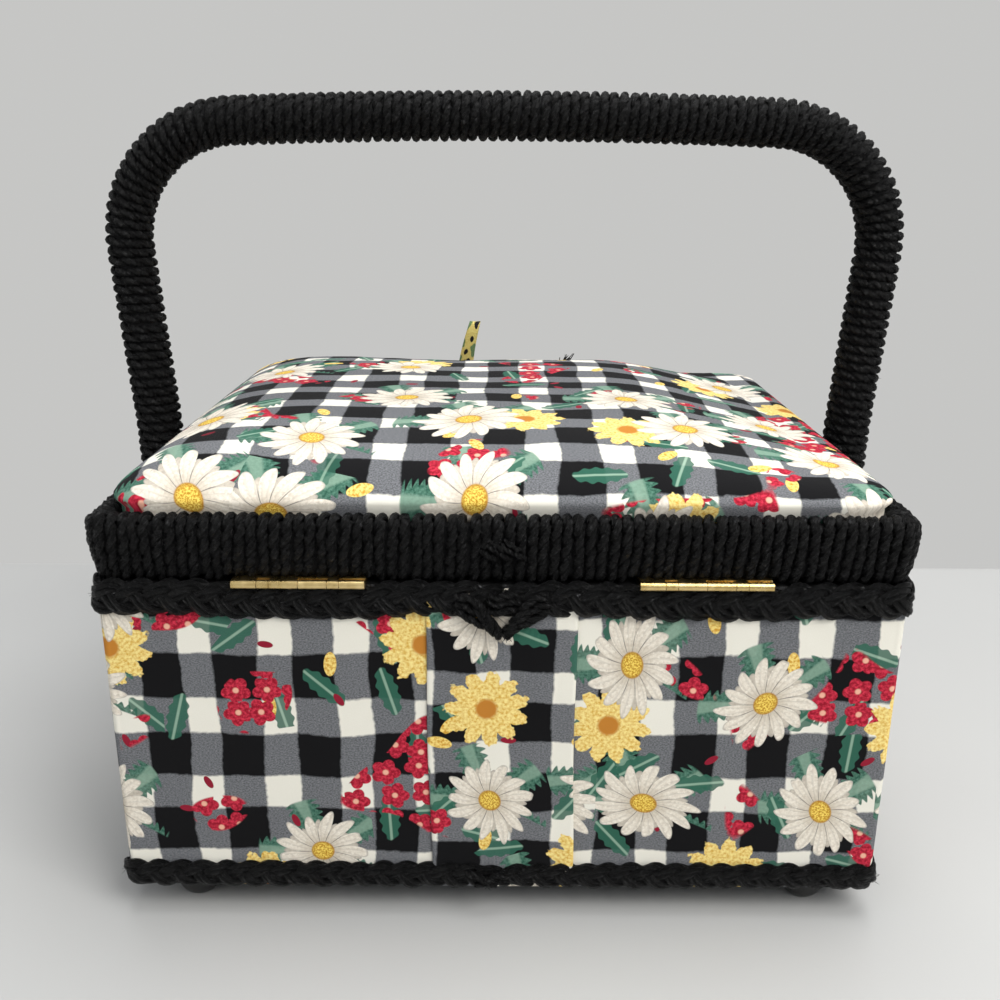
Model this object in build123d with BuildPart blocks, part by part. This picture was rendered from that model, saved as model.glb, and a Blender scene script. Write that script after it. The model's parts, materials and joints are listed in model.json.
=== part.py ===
from build123d import *
import os
from math import cos, pi, radians, sin, tan

# Covered sewing box with a padded, hinged lid and a wound swing handle.
# Millimetres. X runs left to right seen from the hinge side, Y from the hinge side to the
# front, Z up. The origin is on the table, under the middle of the box.

# Body box
body_length = 262.0
body_depth = 226.0
body_height = 113.5
cover_corner_radius = 3.0

# Panels, skins and linings
wall_thickness = 8.5
bottom_thickness = 5.0
base_sheet_thickness = 0.8
cover_thickness = 1.2
lining_thickness = 1.2
lining_drop = 0.6
strip_width = 49.0
strip_thickness = 0.8

# Braids round the body
braid_proud = 1.9
upper_braid_height = 12.0
lower_braid_height = 10.0
braid_edge = 0.8
knot_width = 22.0
knot_drop = 8.0

# Feet
foot_height = 11.5
foot_diameter = 16.6
foot_inset = 20.5
foot_setback = 14.5
foot_sole_diameter = 10.0
nail_diameter = 2.0
nail_head_diameter = 4.4
nail_head_depth = 1.2
nail_grip = 3.6

# Hinges
hinge_spacing = 130.0
hinge_set_out = 1.7
barrel_diameter = 3.0
pin_diameter = 1.5
leaf_thickness = 0.8
leaf_width = 12.0
knuckle_lengths = (8.0, 3.7, 9.0, 9.0, 3.7, 8.0)
knuckle_gap = 0.2
screws_per_leaf = 2
screw_spacing = 22.0
screw_reach = 8.7
screw_diameter = 2.0
screw_head_diameter = 3.4
screw_grip = 6.0

# Lid
rim_overhang = 2.0
rim_height = 20.5
rim_corner_radius = 8.0
rim_border = 7.0
rim_tuck = 3.2
frame_width = 12.0
lid_board_thickness = 4.0
lid_sheet_thickness = 0.8
cord_pitch = 3.7
turns_per_rib = 2
cord_groove = 0.7
side_wrap = 6.0
top_wrap = 4.0

# Padded crown of the lid
crown_rise = 20.0
crown_run = 78.0
crown_corner_radius = 14.0
crown_fullness = 2.4
crown_bands = 7
crown_corner_steps = 3
crown_skin = 0.9

# Pull tab
tab_offset = -20.0
tab_width = 9.0
tab_rise = 31.5
tab_ply = 0.9
tab_loop_width = 5.0

# Handle
pivot_drop = 20.0
handle_rise = 163.7
handle_wrap_diameter = 18.8
handle_core_diameter = 10.2
handle_corner_radius = 45.0
handle_splay_angle = 3.8
handle_knee = 45.0
handle_arch = 5.5
handle_side_clearance = 0.8
handle_sides = 8
arch_radius = 2600.0
knee_radius = 300.0
eye_diameter = 14.0
eye_thickness = 5.0
eye_neck = 9.0
wrap_start = 14.0
pivot_diameter = 5.0
pivot_head_diameter = 11.0
pivot_head_height = 2.4
spacer_diameter = 16.0

# Tray and its ledges
tray_height = 28.0
tray_wall = 1.8
tray_floor = 1.6
tray_corner_radius = 6.0
tray_top_gap = 3.0
tray_row_depth = 62.0
tray_columns = 4
thumb_notch_radius = 11.0
ledge_width = 5.0
ledge_height = 8.0
ledge_setback = 5.0

# Clearances
running_clearance = 0.05
seat_clearance = 0.1
soft_clearance = 0.3
tray_clearance = 0.6

# Levels
base_level = foot_height
board_level = base_level + base_sheet_thickness
floor_level = board_level + bottom_thickness
wall_top = base_level + body_height
lid_level = wall_top + barrel_diameter
rim_top = lid_level + rim_height
frame_top = rim_top - top_wrap
hinge_level = wall_top + barrel_diameter / 2
pivot_level = wall_top - pivot_drop
bar_level = pivot_level + handle_rise
tray_level = wall_top - tray_top_gap - tray_height
upper_braid_level = lid_level - soft_clearance - upper_braid_height

# Plan sizes
wall_length = body_length - 2 * cover_thickness
wall_depth = body_depth - 2 * cover_thickness
inner_length = wall_length - 2 * wall_thickness
inner_depth = wall_depth - 2 * wall_thickness
room_length = inner_length - 2 * lining_thickness
room_depth = inner_depth - 2 * lining_thickness
rim_length = body_length + 2 * rim_overhang
rim_depth = body_depth + 2 * rim_overhang
frame_length = rim_length - 2 * side_wrap
frame_depth = rim_depth - 2 * side_wrap
panel_length = frame_length - 2 * frame_width
panel_depth = frame_depth - 2 * frame_width
mouth_length = rim_length - 2 * rim_border
mouth_depth = rim_depth - 2 * rim_border
hinge_axis_y = -(body_depth / 2 + hinge_set_out)
hinge_length = sum(knuckle_lengths) + knuckle_gap * (len(knuckle_lengths) - 1)
leaf_end_y = hinge_axis_y + leaf_width
screw_y = hinge_axis_y + screw_reach
handle_half = (
    body_length / 2 + braid_proud + handle_side_clearance + handle_wrap_diameter / 2
)

os.makedirs("parts", exist_ok=True)


def finish(part, name):
    """Label a finished piece and write it."""
    part.label = name
    export_step(part, "parts/" + name + ".step")


# Bottom board, with a pilot hole for each foot nail
foot_x = body_length / 2 - foot_inset
foot_y = body_depth / 2 - foot_setback
with BuildPart() as bottom_board:
    with BuildSketch(Plane.XY.offset(board_level)):
        Rectangle(wall_length, wall_depth)
        with GridLocations(2 * foot_x, 2 * foot_y, 2, 2):
            Circle(nail_diameter / 2 + running_clearance, mode=Mode.SUBTRACT)
    extrude(amount=bottom_thickness)
finish(bottom_board.part, "bottom_board")

# Sheet that closes the underside
with BuildPart() as bottom_cover:
    with BuildSketch(Plane.XY.offset(base_level)):
        Rectangle(wall_length, wall_depth)
        with GridLocations(2 * foot_x, 2 * foot_y, 2, 2):
            Circle(nail_diameter / 2 + running_clearance, mode=Mode.SUBTRACT)
    extrude(amount=base_sheet_thickness)
finish(bottom_cover.part, "bottom_cover")

# Long walls, front and back, with pilot holes for the hinge screws in the back one
hinge_screw_x = [
    side * hinge_spacing / 2 + (step - (screws_per_leaf - 1) / 2) * screw_spacing
    for side in (-1, 1)
    for step in range(screws_per_leaf)
]
long_wall_y = wall_depth / 2 - wall_thickness / 2
with BuildPart() as wall_back:
    with BuildSketch(Plane.XY.offset(floor_level)):
        with Locations((0, -long_wall_y)):
            Rectangle(wall_length, wall_thickness)
    extrude(amount=wall_top - floor_level)
    with Locations([(x, screw_y, wall_top) for x in hinge_screw_x]):
        Hole(screw_diameter / 2 + running_clearance, depth=screw_grip)
finish(wall_back.part, "wall_back")

with BuildPart() as wall_front:
    with BuildSketch(Plane.XY.offset(floor_level)):
        with Locations((0, long_wall_y)):
            Rectangle(wall_length, wall_thickness)
    extrude(amount=wall_top - floor_level)
finish(wall_front.part, "wall_front")

# Side walls, each bored for its handle pivot
side_wall_x = wall_length / 2 - wall_thickness / 2
for name, side in (("wall_left", -1), ("wall_right", 1)):
    with BuildPart() as side_wall:
        with BuildSketch(Plane.XY.offset(floor_level)):
            with Locations((side * side_wall_x, 0)):
                Rectangle(wall_thickness, inner_depth)
        extrude(amount=wall_top - floor_level)
        with BuildSketch(Plane.YZ.offset(side * side_wall_x)):
            with Locations((0, pivot_level)):
                Circle(pivot_diameter / 2 + running_clearance)
        extrude(amount=wall_thickness, both=True, mode=Mode.SUBTRACT)
    finish(side_wall.part, name)

# Printed cloth round the four walls
with BuildPart() as body_cover:
    with BuildSketch(Plane.XY.offset(base_level)):
        RectangleRounded(body_length, body_depth, cover_corner_radius)
        Rectangle(wall_length, wall_depth, mode=Mode.SUBTRACT)
    extrude(amount=body_height)
    with BuildSketch(Plane.YZ):
        with Locations((0, pivot_level)):
            Circle(pivot_diameter / 2 + soft_clearance)
    extrude(amount=body_length, both=True, mode=Mode.SUBTRACT)
finish(body_cover.part, "body_cover")

# Folded strip that hides the join of the cloth at the middle of the back
strip_y = -(body_depth / 2 + strip_thickness / 2)
with BuildPart() as rear_join_strip:
    with BuildSketch(Plane.XY.offset(base_level)):
        with Locations((0, strip_y)):
            Rectangle(strip_width, strip_thickness)
    extrude(amount=body_height)
    long_edges = rear_join_strip.edges().filter_by(Axis.Z).group_by(Axis.Y)[0]
    fillet(long_edges, strip_thickness / 2)
finish(rear_join_strip.part, "rear_join_strip")

# Upper braid, let in over the strip and the hinges, with its ends turned down in a knot
braid_length = body_length + 2 * braid_proud
braid_depth = body_depth + 2 * braid_proud
braid_corner_radius = cover_corner_radius + braid_proud
strip_seat = 2 * (strip_thickness + running_clearance)
with BuildPart() as upper_braid:
    with BuildSketch(Plane.XY.offset(upper_braid_level)):
        RectangleRounded(braid_length, braid_depth, braid_corner_radius)
    extrude(amount=upper_braid_height)
    chamfer(upper_braid.faces().filter_by(Axis.Z).edges(), braid_edge)
    with BuildSketch(Plane.XZ.offset(body_depth / 2)):
        with BuildLine():
            Polyline(
                (-knot_width / 2, upper_braid_level + braid_proud),
                (0, upper_braid_level - knot_drop),
                (knot_width / 2, upper_braid_level + braid_proud),
                close=True,
            )
        make_face()
    extrude(amount=braid_proud)
    with BuildSketch(Plane.XY):
        RectangleRounded(body_length, body_depth, cover_corner_radius)
        with Locations((0, -body_depth / 2)):
            Rectangle(strip_width + strip_seat, strip_seat)
    extrude(amount=lid_level, mode=Mode.SUBTRACT)
    with BuildSketch(Plane.XY.offset(wall_top - seat_clearance)):
        for side in (-1, 1):
            with Locations((side * hinge_spacing / 2, -body_depth / 2)):
                Rectangle(hinge_length + barrel_diameter, 2 * leaf_width)
    extrude(amount=barrel_diameter + seat_clearance, mode=Mode.SUBTRACT)
finish(upper_braid.part, "upper_braid")

# Lower braid, over the bottom edge of the cloth
with BuildPart() as lower_braid:
    with BuildSketch(Plane.XY.offset(base_level)):
        RectangleRounded(braid_length, braid_depth, braid_corner_radius)
    extrude(amount=lower_braid_height)
    chamfer(lower_braid.faces().filter_by(Axis.Z).edges(), braid_edge)
    with BuildSketch(Plane.XY):
        RectangleRounded(body_length, body_depth, cover_corner_radius)
        with Locations((0, -body_depth / 2)):
            Rectangle(strip_width + strip_seat, strip_seat)
    extrude(amount=wall_top, mode=Mode.SUBTRACT)
finish(lower_braid.part, "lower_braid")

# Turned feet, each bored and recessed for its nail
foot_places = [(x, y) for x in (-foot_x, foot_x) for y in (-foot_y, foot_y)]
with BuildPart() as feet:
    for x, y in foot_places:
        with BuildSketch(Plane.XZ.offset(-y)):
            with BuildLine():
                Polyline(
                    (x, 0),
                    (x + foot_sole_diameter / 2, 0),
                    (x + foot_diameter / 2, foot_height / 2),
                    (x + foot_diameter / 2, foot_height),
                    (x, foot_height),
                    close=True,
                )
            make_face()
        revolve(axis=Axis((x, y, 0), (0, 0, 1)))
    with BuildSketch(Plane.XY):
        with Locations(foot_places):
            Circle(nail_diameter / 2 + running_clearance)
    extrude(amount=foot_height, mode=Mode.SUBTRACT)
    with BuildSketch(Plane.XY):
        with Locations(foot_places):
            Circle(nail_head_diameter / 2 + seat_clearance)
    extrude(amount=2 * nail_head_depth, mode=Mode.SUBTRACT)
finish(feet.part, "feet")

# Nails that hold the feet
with BuildPart() as foot_nails:
    with BuildSketch(Plane.XY.offset(nail_head_depth)):
        with Locations(foot_places):
            Circle(nail_head_diameter / 2)
    extrude(amount=nail_head_depth)
    with BuildSketch(Plane.XY.offset(nail_head_depth)):
        with Locations(foot_places):
            Circle(nail_diameter / 2)
    extrude(amount=board_level + nail_grip - nail_head_depth)
finish(foot_nails.part, "foot_nails")

# Lining of the inside
with BuildPart() as lining_floor:
    with BuildSketch(Plane.XY.offset(floor_level)):
        Rectangle(inner_length, inner_depth)
    extrude(amount=lining_thickness)
finish(lining_floor.part, "lining_floor")

lining_level = floor_level + lining_thickness
with BuildPart() as lining_walls:
    with BuildSketch(Plane.XY.offset(lining_level)):
        Rectangle(inner_length, inner_depth)
        Rectangle(room_length, room_depth, mode=Mode.SUBTRACT)
    extrude(amount=wall_top - lining_drop - lining_level)
finish(lining_walls.part, "lining_walls")

# Ledges that carry the tray, one on each side wall
ledge_x = room_length / 2 - ledge_width / 2
with BuildPart() as tray_ledges:
    with BuildSketch(Plane.XY.offset(tray_level - ledge_height)):
        with Locations((-ledge_x, 0), (ledge_x, 0)):
            Rectangle(ledge_width, room_depth - 2 * ledge_setback)
    extrude(amount=ledge_height)
    chamfer(tray_ledges.edges().filter_by(Axis.Y).group_by(Axis.Z)[0], ledge_width / 3)
finish(tray_ledges.part, "tray_ledges")

# Moulded tray: one long compartment at the back, a row of small ones at the front
tray_length = room_length - 2 * tray_clearance
tray_depth = room_depth - 2 * tray_clearance
tray_inner_length = tray_length - 2 * tray_wall
tray_inner_depth = tray_depth - 2 * tray_wall
row_wall_y = tray_inner_depth / 2 - tray_row_depth - tray_wall / 2
column_pitch = (tray_inner_length + tray_wall) / tray_columns
with BuildPart() as tray:
    with BuildSketch(Plane.XY.offset(tray_level)):
        RectangleRounded(tray_length, tray_depth, tray_corner_radius)
    extrude(amount=tray_height)
    with BuildSketch(Plane.XY.offset(tray_level + tray_floor)):
        RectangleRounded(tray_inner_length, tray_inner_depth, tray_corner_radius - tray_wall)
        with Locations((0, row_wall_y)):
            Rectangle(tray_inner_length, tray_wall, mode=Mode.SUBTRACT)
        for column in range(1, tray_columns):
            divider_x = -tray_inner_length / 2 - tray_wall / 2 + column * column_pitch
            with Locations((divider_x, row_wall_y + tray_row_depth / 2)):
                Rectangle(tray_wall, tray_row_depth + tray_wall, mode=Mode.SUBTRACT)
    extrude(amount=tray_height, mode=Mode.SUBTRACT)
    with BuildSketch(Plane.YZ):
        with Locations((-tray_row_depth / 2, tray_level + tray_height)):
            Circle(thumb_notch_radius)
    extrude(amount=tray_length, both=True, mode=Mode.SUBTRACT)
finish(tray.part, "tray")

# Hinges: two alike leaves turned end for end, so their knuckles interlock on one pin
barrel_radius = barrel_diameter / 2
plate_start_y = hinge_axis_y + barrel_radius + soft_clearance
leaf_levels = {"body": wall_top, "lid": lid_level - leaf_thickness}
for side_name, side in (("left", -1), ("right", 1)):
    hinge_start = side * hinge_spacing / 2 - hinge_length / 2
    side_screws = hinge_screw_x[:screws_per_leaf] if side < 0 else hinge_screw_x[screws_per_leaf:]
    for leaf_name, first in (("body", 1), ("lid", 0)):
        leaf_level = leaf_levels[leaf_name]
        with BuildPart() as hinge_leaf:
            with BuildSketch(Plane.XY.offset(leaf_level)):
                with Locations((side * hinge_spacing / 2, (plate_start_y + leaf_end_y) / 2)):
                    Rectangle(hinge_length, leaf_end_y - plate_start_y)
            extrude(amount=leaf_thickness)
            for number in range(first, len(knuckle_lengths), 2):
                before = sum(knuckle_lengths[:number]) + number * knuckle_gap
                with BuildSketch(Plane.YZ.offset(hinge_start + before)):
                    with Locations((hinge_axis_y, hinge_level)):
                        Circle(barrel_radius)
                    with Locations((hinge_axis_y, leaf_level)):
                        Rectangle(
                            barrel_radius + soft_clearance,
                            leaf_thickness,
                            align=(Align.MIN, Align.MIN),
                        )
                extrude(amount=knuckle_lengths[number])
            with BuildSketch(Plane.YZ.offset(hinge_start)):
                with Locations((hinge_axis_y, hinge_level)):
                    Circle(pin_diameter / 2 + running_clearance)
            extrude(amount=hinge_length, mode=Mode.SUBTRACT)
            hole_level = leaf_level + leaf_thickness if leaf_name == "body" else leaf_level
            hole_facing = 1 if leaf_name == "body" else -1
            for x in side_screws:
                with Locations(Plane((x, screw_y, hole_level), z_dir=(0, 0, hole_facing))):
                    CounterSinkHole(
                        screw_diameter / 2 + running_clearance,
                        screw_head_diameter / 2 + running_clearance,
                        depth=leaf_thickness,
                        counter_sink_angle=82,
                    )
        finish(hinge_leaf.part, "hinge_" + side_name + "_" + leaf_name + "_leaf")
    with BuildPart() as hinge_pin:
        with BuildSketch(Plane.YZ.offset(hinge_start)):
            with Locations((hinge_axis_y, hinge_level)):
                Circle(pin_diameter / 2)
        extrude(amount=hinge_length)
    finish(hinge_pin.part, "hinge_" + side_name + "_pin")

# Countersunk screws through the leaves
screw_length = screw_grip + leaf_thickness / 2
head_depth = (screw_head_diameter - screw_diameter) / 2 / tan(radians(41))
for name, face_level, facing in (
    ("hinge_body_screws", wall_top + leaf_thickness, -1),
    ("hinge_lid_screws", lid_level - leaf_thickness, 1),
):
    with BuildPart() as screws:
        for x in hinge_screw_x:
            with BuildSketch(Plane.XZ.offset(-screw_y)):
                with BuildLine():
                    Polyline(
                        (x, face_level),
                        (x + screw_head_diameter / 2, face_level),
                        (x + screw_diameter / 2, face_level + facing * head_depth),
                        (x + screw_diameter / 2, face_level + facing * screw_length),
                        (x, face_level + facing * screw_length),
                        close=True,
                    )
                make_face()
            revolve(axis=Axis((x, screw_y, 0), (0, 0, 1)))
    finish(screws.part, name)

# Lid frame, bored underneath for the hinge screws
with BuildPart() as lid_rim_frame:
    with BuildSketch(Plane.XY.offset(lid_level)):
        Rectangle(frame_length, frame_depth)
        Rectangle(panel_length, panel_depth, mode=Mode.SUBTRACT)
    extrude(amount=frame_top - lid_level)
    for x in hinge_screw_x:
        with Locations(Plane((x, screw_y, lid_level), z_dir=(0, 0, -1))):
            Hole(screw_diameter / 2 + running_clearance, depth=screw_grip)
finish(lid_rim_frame.part, "lid_rim_frame")

with BuildPart() as lid_board:
    with BuildSketch(Plane.XY.offset(frame_top - lid_board_thickness)):
        Rectangle(panel_length, panel_depth)
    extrude(amount=lid_board_thickness)
finish(lid_board.part, "lid_board")

with BuildPart() as lid_lining:
    with BuildSketch(Plane.XY.offset(frame_top - lid_board_thickness - lid_sheet_thickness)):
        Rectangle(panel_length, panel_depth)
    extrude(amount=lid_sheet_thickness)
finish(lid_lining.part, "lid_lining")


def rim_stations(count):
    """Even stations round the rim: each is a point and its outward direction."""
    run_x = rim_length / 2 - rim_corner_radius
    run_y = rim_depth / 2 - rim_corner_radius
    quarter = pi / 2 * rim_corner_radius
    spans = [2 * run_x, quarter, 2 * run_y, quarter] * 2
    corners = [(run_x, -run_y), (run_x, run_y), (-run_x, run_y), (-run_x, -run_y)]
    stations = []
    for number in range(count):
        rest = sum(spans) * number / count
        leg = 0
        while rest > spans[leg]:
            rest -= spans[leg]
            leg += 1
        corner_x, corner_y = corners[leg // 2]
        if leg % 2:
            angle = (leg // 2 - 1) * pi / 2 + rest / rim_corner_radius
            back = 0
        else:
            angle = (leg // 2 - 1) * pi / 2
            back = spans[leg] - rest
        out = (cos(angle), sin(angle))
        base_x = corner_x + out[1] * back
        base_y = corner_y - out[0] * back
        point = (base_x + out[0] * rim_corner_radius, base_y + out[1] * rim_corner_radius)
        stations.append((point, out))
    return stations


# Cord wound round the lid frame: one flute for each pair of turns, tucked in below
rim_perimeter = 2 * (rim_length + rim_depth) - (8 - 2 * pi) * rim_corner_radius
rim_flutes = round(rim_perimeter / (turns_per_rib * cord_pitch))
wrap_profile = (
    (lid_level, rim_tuck),
    (lid_level + 0.6 * rim_height, 0),
    (rim_top, rim_tuck / 3),
)
with BuildPart() as rim_wrap:
    for level, inset in wrap_profile:
        outline = []
        for number, (point, out) in enumerate(rim_stations(2 * rim_flutes)):
            pull = inset + (cord_groove if number % 2 else 0)
            outline.append((point[0] - pull * out[0], point[1] - pull * out[1]))
        with BuildSketch(Plane.XY.offset(level)):
            with BuildLine():
                Polyline(*outline, close=True)
            make_face()
    loft(ruled=True)
    with BuildSketch(Plane.XY.offset(lid_level)):
        Rectangle(frame_length, frame_depth)
    extrude(amount=frame_top - lid_level, mode=Mode.SUBTRACT)
    with BuildSketch(Plane.XY.offset(frame_top)):
        RectangleRounded(mouth_length, mouth_depth, crown_corner_radius + soft_clearance)
        with Locations((tab_offset, mouth_depth / 2)):
            Rectangle(tab_width + 2 * soft_clearance, 4 * tab_ply + 4 * soft_clearance)
    extrude(amount=top_wrap, mode=Mode.SUBTRACT)
finish(rim_wrap.part, "rim_wrap")


def crown_outlines(skin):
    """Level and corner points of the crown's sections, a skin's thickness inside its outside."""
    levels = [(frame_top, skin), (rim_top, skin)]
    for band in range(1, crown_bands + 1):
        run = 1 - cos(pi / 2 * band / crown_bands)
        rise = (1 - (1 - run) ** crown_fullness) ** (1 / crown_fullness)
        levels.append((rim_top + rise * (crown_rise - skin), run * crown_run + skin))
    outlines = []
    for level, inset in levels:
        radius = crown_corner_radius + inset / 10
        centre_x = mouth_length / 2 - soft_clearance - inset - radius
        centre_y = mouth_depth / 2 - soft_clearance - inset - radius
        points = []
        for corner, (sign_x, sign_y) in enumerate(((1, 1), (-1, 1), (-1, -1), (1, -1))):
            for step in range(crown_corner_steps + 1):
                angle = pi / 2 * (corner + step / crown_corner_steps)
                x = sign_x * centre_x + radius * cos(angle)
                y = sign_y * centre_y + radius * sin(angle)
                points.append((x, y))
        outlines.append((level, points))
    return outlines


def crown_body(skin):
    """Solid of flat faces through the crown's sections."""
    outlines = crown_outlines(skin)
    rings = [[(x, y, level) for x, y in points] for level, points in outlines]
    faces = [Face(Wire.make_polygon(rings[0])), Face(Wire.make_polygon(rings[-1]))]
    for low, high in zip(rings, rings[1:]):
        for here in range(len(low)):
            before = here - 1
            faces.append(Face(Wire.make_polygon([low[before], low[here], high[here], high[before]])))
    return Solid(Shell(faces))


# Foam pad
with BuildPart() as lid_pad:
    add(crown_body(crown_skin + soft_clearance))
finish(lid_pad.part, "lid_pad")

# Printed cloth drawn over the pad
with BuildPart() as lid_cover:
    add(crown_body(0))
    add(crown_body(crown_skin), mode=Mode.SUBTRACT)
finish(lid_cover.part, "lid_cover")

# Doubled loop of cloth at the front, for lifting the lid
tab_y = mouth_depth / 2 + soft_clearance + tab_ply
tab_top = rim_top + tab_rise
tab_inner_half = tab_loop_width / 2 - tab_ply
with BuildPart() as pull_tab:
    with BuildSketch(Plane.YZ.offset(tab_offset - tab_width / 2)):
        with BuildLine():
            Polyline(
                (tab_y - tab_ply, frame_top),
                (tab_y - tab_ply, rim_top + soft_clearance),
                (tab_y - tab_loop_width / 2, tab_top - tab_loop_width),
                (tab_y - tab_loop_width / 2, tab_top - tab_loop_width / 2),
            )
            ThreePointArc(
                (tab_y - tab_loop_width / 2, tab_top - tab_loop_width / 2),
                (tab_y, tab_top),
                (tab_y + tab_loop_width / 2, tab_top - tab_loop_width / 2),
            )
            Polyline(
                (tab_y + tab_loop_width / 2, tab_top - tab_loop_width / 2),
                (tab_y + tab_loop_width / 2, tab_top - tab_loop_width),
                (tab_y + tab_ply, rim_top + soft_clearance),
                (tab_y + tab_ply, frame_top),
                (tab_y - tab_ply, frame_top),
            )
        make_face()
        with BuildLine():
            Polyline(
                (tab_y, rim_top + tab_loop_width),
                (tab_y - tab_inner_half, tab_top - tab_loop_width),
                (tab_y - tab_inner_half, tab_top - tab_loop_width / 2),
            )
            ThreePointArc(
                (tab_y - tab_inner_half, tab_top - tab_loop_width / 2),
                (tab_y, tab_top - tab_ply),
                (tab_y + tab_inner_half, tab_top - tab_loop_width / 2),
            )
            Polyline(
                (tab_y + tab_inner_half, tab_top - tab_loop_width / 2),
                (tab_y + tab_inner_half, tab_top - tab_loop_width),
                (tab_y, rim_top + tab_loop_width),
            )
        make_face(mode=Mode.SUBTRACT)
    extrude(amount=tab_width)
finish(pull_tab.part, "pull_tab")

# Route of the bent cane handle, from one eye over the bar to the other
knee_level = pivot_level + handle_knee
corner_x = handle_half + (bar_level - knee_level) * tan(radians(handle_splay_angle))


def handle_route(start):
    """Corners of the handle's route and the radius at each, from a height above the pivot."""
    half = [(-handle_half, pivot_level + start), (-handle_half, knee_level), (-corner_x, bar_level)]
    other = [(-x, z) for x, z in reversed(half)]
    corners = half + [(0, bar_level + handle_arch)] + other
    radii = [knee_radius, handle_corner_radius, arch_radius, handle_corner_radius, knee_radius]
    return corners, radii


# Cane core with flattened ends, bored for the pivots
with BuildPart() as handle_core:
    core_corners, core_radii = handle_route(eye_neck)
    with BuildLine(Plane.XZ) as core_path:
        FilletPolyline(*core_corners, radius=core_radii)
    core_line = core_path.wires()[0]
    with BuildSketch(Plane(core_line @ 0, x_dir=(0, 1, 0), z_dir=core_line % 0)):
        RegularPolygon(handle_core_diameter / 2, handle_sides)
    sweep(path=core_line)
    for side in (-1, 1):
        with BuildSketch(Plane.YZ.offset(side * handle_half)):
            with Locations((0, pivot_level)):
                Circle(eye_diameter / 2)
                Rectangle(handle_core_diameter, wrap_start, align=(Align.CENTER, Align.MIN))
        extrude(amount=eye_thickness / 2, both=True)
    with BuildSketch(Plane.YZ):
        with Locations((0, pivot_level)):
            Circle(pivot_diameter / 2 + running_clearance)
    extrude(amount=corner_x, both=True, mode=Mode.SUBTRACT)
finish(handle_core.part, "handle_core")

# Cord wound close round the core: one rib for each pair of turns
with BuildPart() as handle_wrap:
    wrap_corners, wrap_radii = handle_route(wrap_start)
    with BuildLine(Plane.XZ) as wrap_path:
        FilletPolyline(*wrap_corners, radius=wrap_radii)
    wrap_line = wrap_path.wires()[0]
    handle_ribs = round(wrap_line.length / (turns_per_rib * cord_pitch))
    for step in range(2 * handle_ribs + 1):
        share = step / (2 * handle_ribs)
        radius = handle_wrap_diameter / 2 - (0 if step % 2 else cord_groove)
        with BuildSketch(Plane(wrap_line @ share, x_dir=(0, 1, 0), z_dir=wrap_line % share)):
            RegularPolygon(radius, handle_sides)
    loft(ruled=True)
    with BuildSketch(Plane(wrap_line @ 0, x_dir=(0, 1, 0), z_dir=wrap_line % 0)):
        RegularPolygon(handle_core_diameter / 2 + soft_clearance, handle_sides)
    sweep(path=wrap_line, mode=Mode.SUBTRACT)
finish(handle_wrap.part, "handle_wrap")

# Spacers between the body and the handle's eyes, and the pivot screws through both
eye_inside = handle_half - eye_thickness / 2
eye_outside = handle_half + eye_thickness / 2
spacer_start = body_length / 2 + running_clearance
with BuildPart() as handle_spacers:
    for side in (-1, 1):
        with BuildSketch(Plane.YZ.offset(side * spacer_start)):
            with Locations((0, pivot_level)):
                Circle(spacer_diameter / 2)
                Circle(pivot_diameter / 2 + running_clearance, mode=Mode.SUBTRACT)
        extrude(amount=side * (eye_inside - running_clearance - spacer_start))
finish(handle_spacers.part, "handle_spacers")

head_start = eye_outside + running_clearance
head_end = head_start + pivot_head_height
shank_start = wall_length / 2 - wall_thickness + running_clearance
head_radius = pivot_head_diameter / 2
with BuildPart() as pivot_screws:
    for side in (-1, 1):
        with BuildSketch(Plane.XZ):
            with BuildLine():
                Polyline(
                    (side * head_end, pivot_level),
                    (side * shank_start, pivot_level),
                    (side * shank_start, pivot_level + pivot_diameter / 2),
                    (side * head_start, pivot_level + pivot_diameter / 2),
                    (side * head_start, pivot_level + head_radius),
                    (side * head_end, pivot_level + head_radius - pivot_head_height / 2),
                    close=True,
                )
            make_face()
        revolve(axis=Axis((0, 0, pivot_level), (1, 0, 0)))
finish(pivot_screws.part, "pivot_screws")
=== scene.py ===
import json
from math import cos, pi, radians, sin, tan

import bpy
import numpy as np
from mathutils import Euler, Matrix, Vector, noise


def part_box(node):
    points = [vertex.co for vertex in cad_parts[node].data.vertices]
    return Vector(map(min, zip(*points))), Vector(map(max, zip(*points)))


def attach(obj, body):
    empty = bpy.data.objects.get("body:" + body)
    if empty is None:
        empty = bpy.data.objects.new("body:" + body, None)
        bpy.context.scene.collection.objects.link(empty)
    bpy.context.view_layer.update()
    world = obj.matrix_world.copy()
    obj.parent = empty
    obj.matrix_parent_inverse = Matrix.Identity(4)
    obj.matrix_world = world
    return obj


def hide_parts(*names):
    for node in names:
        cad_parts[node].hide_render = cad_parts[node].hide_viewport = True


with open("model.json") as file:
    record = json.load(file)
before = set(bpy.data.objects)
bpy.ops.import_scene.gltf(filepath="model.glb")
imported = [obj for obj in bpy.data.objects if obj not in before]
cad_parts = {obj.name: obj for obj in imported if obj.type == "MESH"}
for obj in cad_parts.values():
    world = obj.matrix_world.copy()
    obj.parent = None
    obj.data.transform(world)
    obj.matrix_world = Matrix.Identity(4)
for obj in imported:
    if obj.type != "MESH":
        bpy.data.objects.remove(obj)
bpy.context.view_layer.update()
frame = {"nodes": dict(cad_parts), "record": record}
nodes = frame["nodes"]
chance = np.random.default_rng(7)

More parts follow.
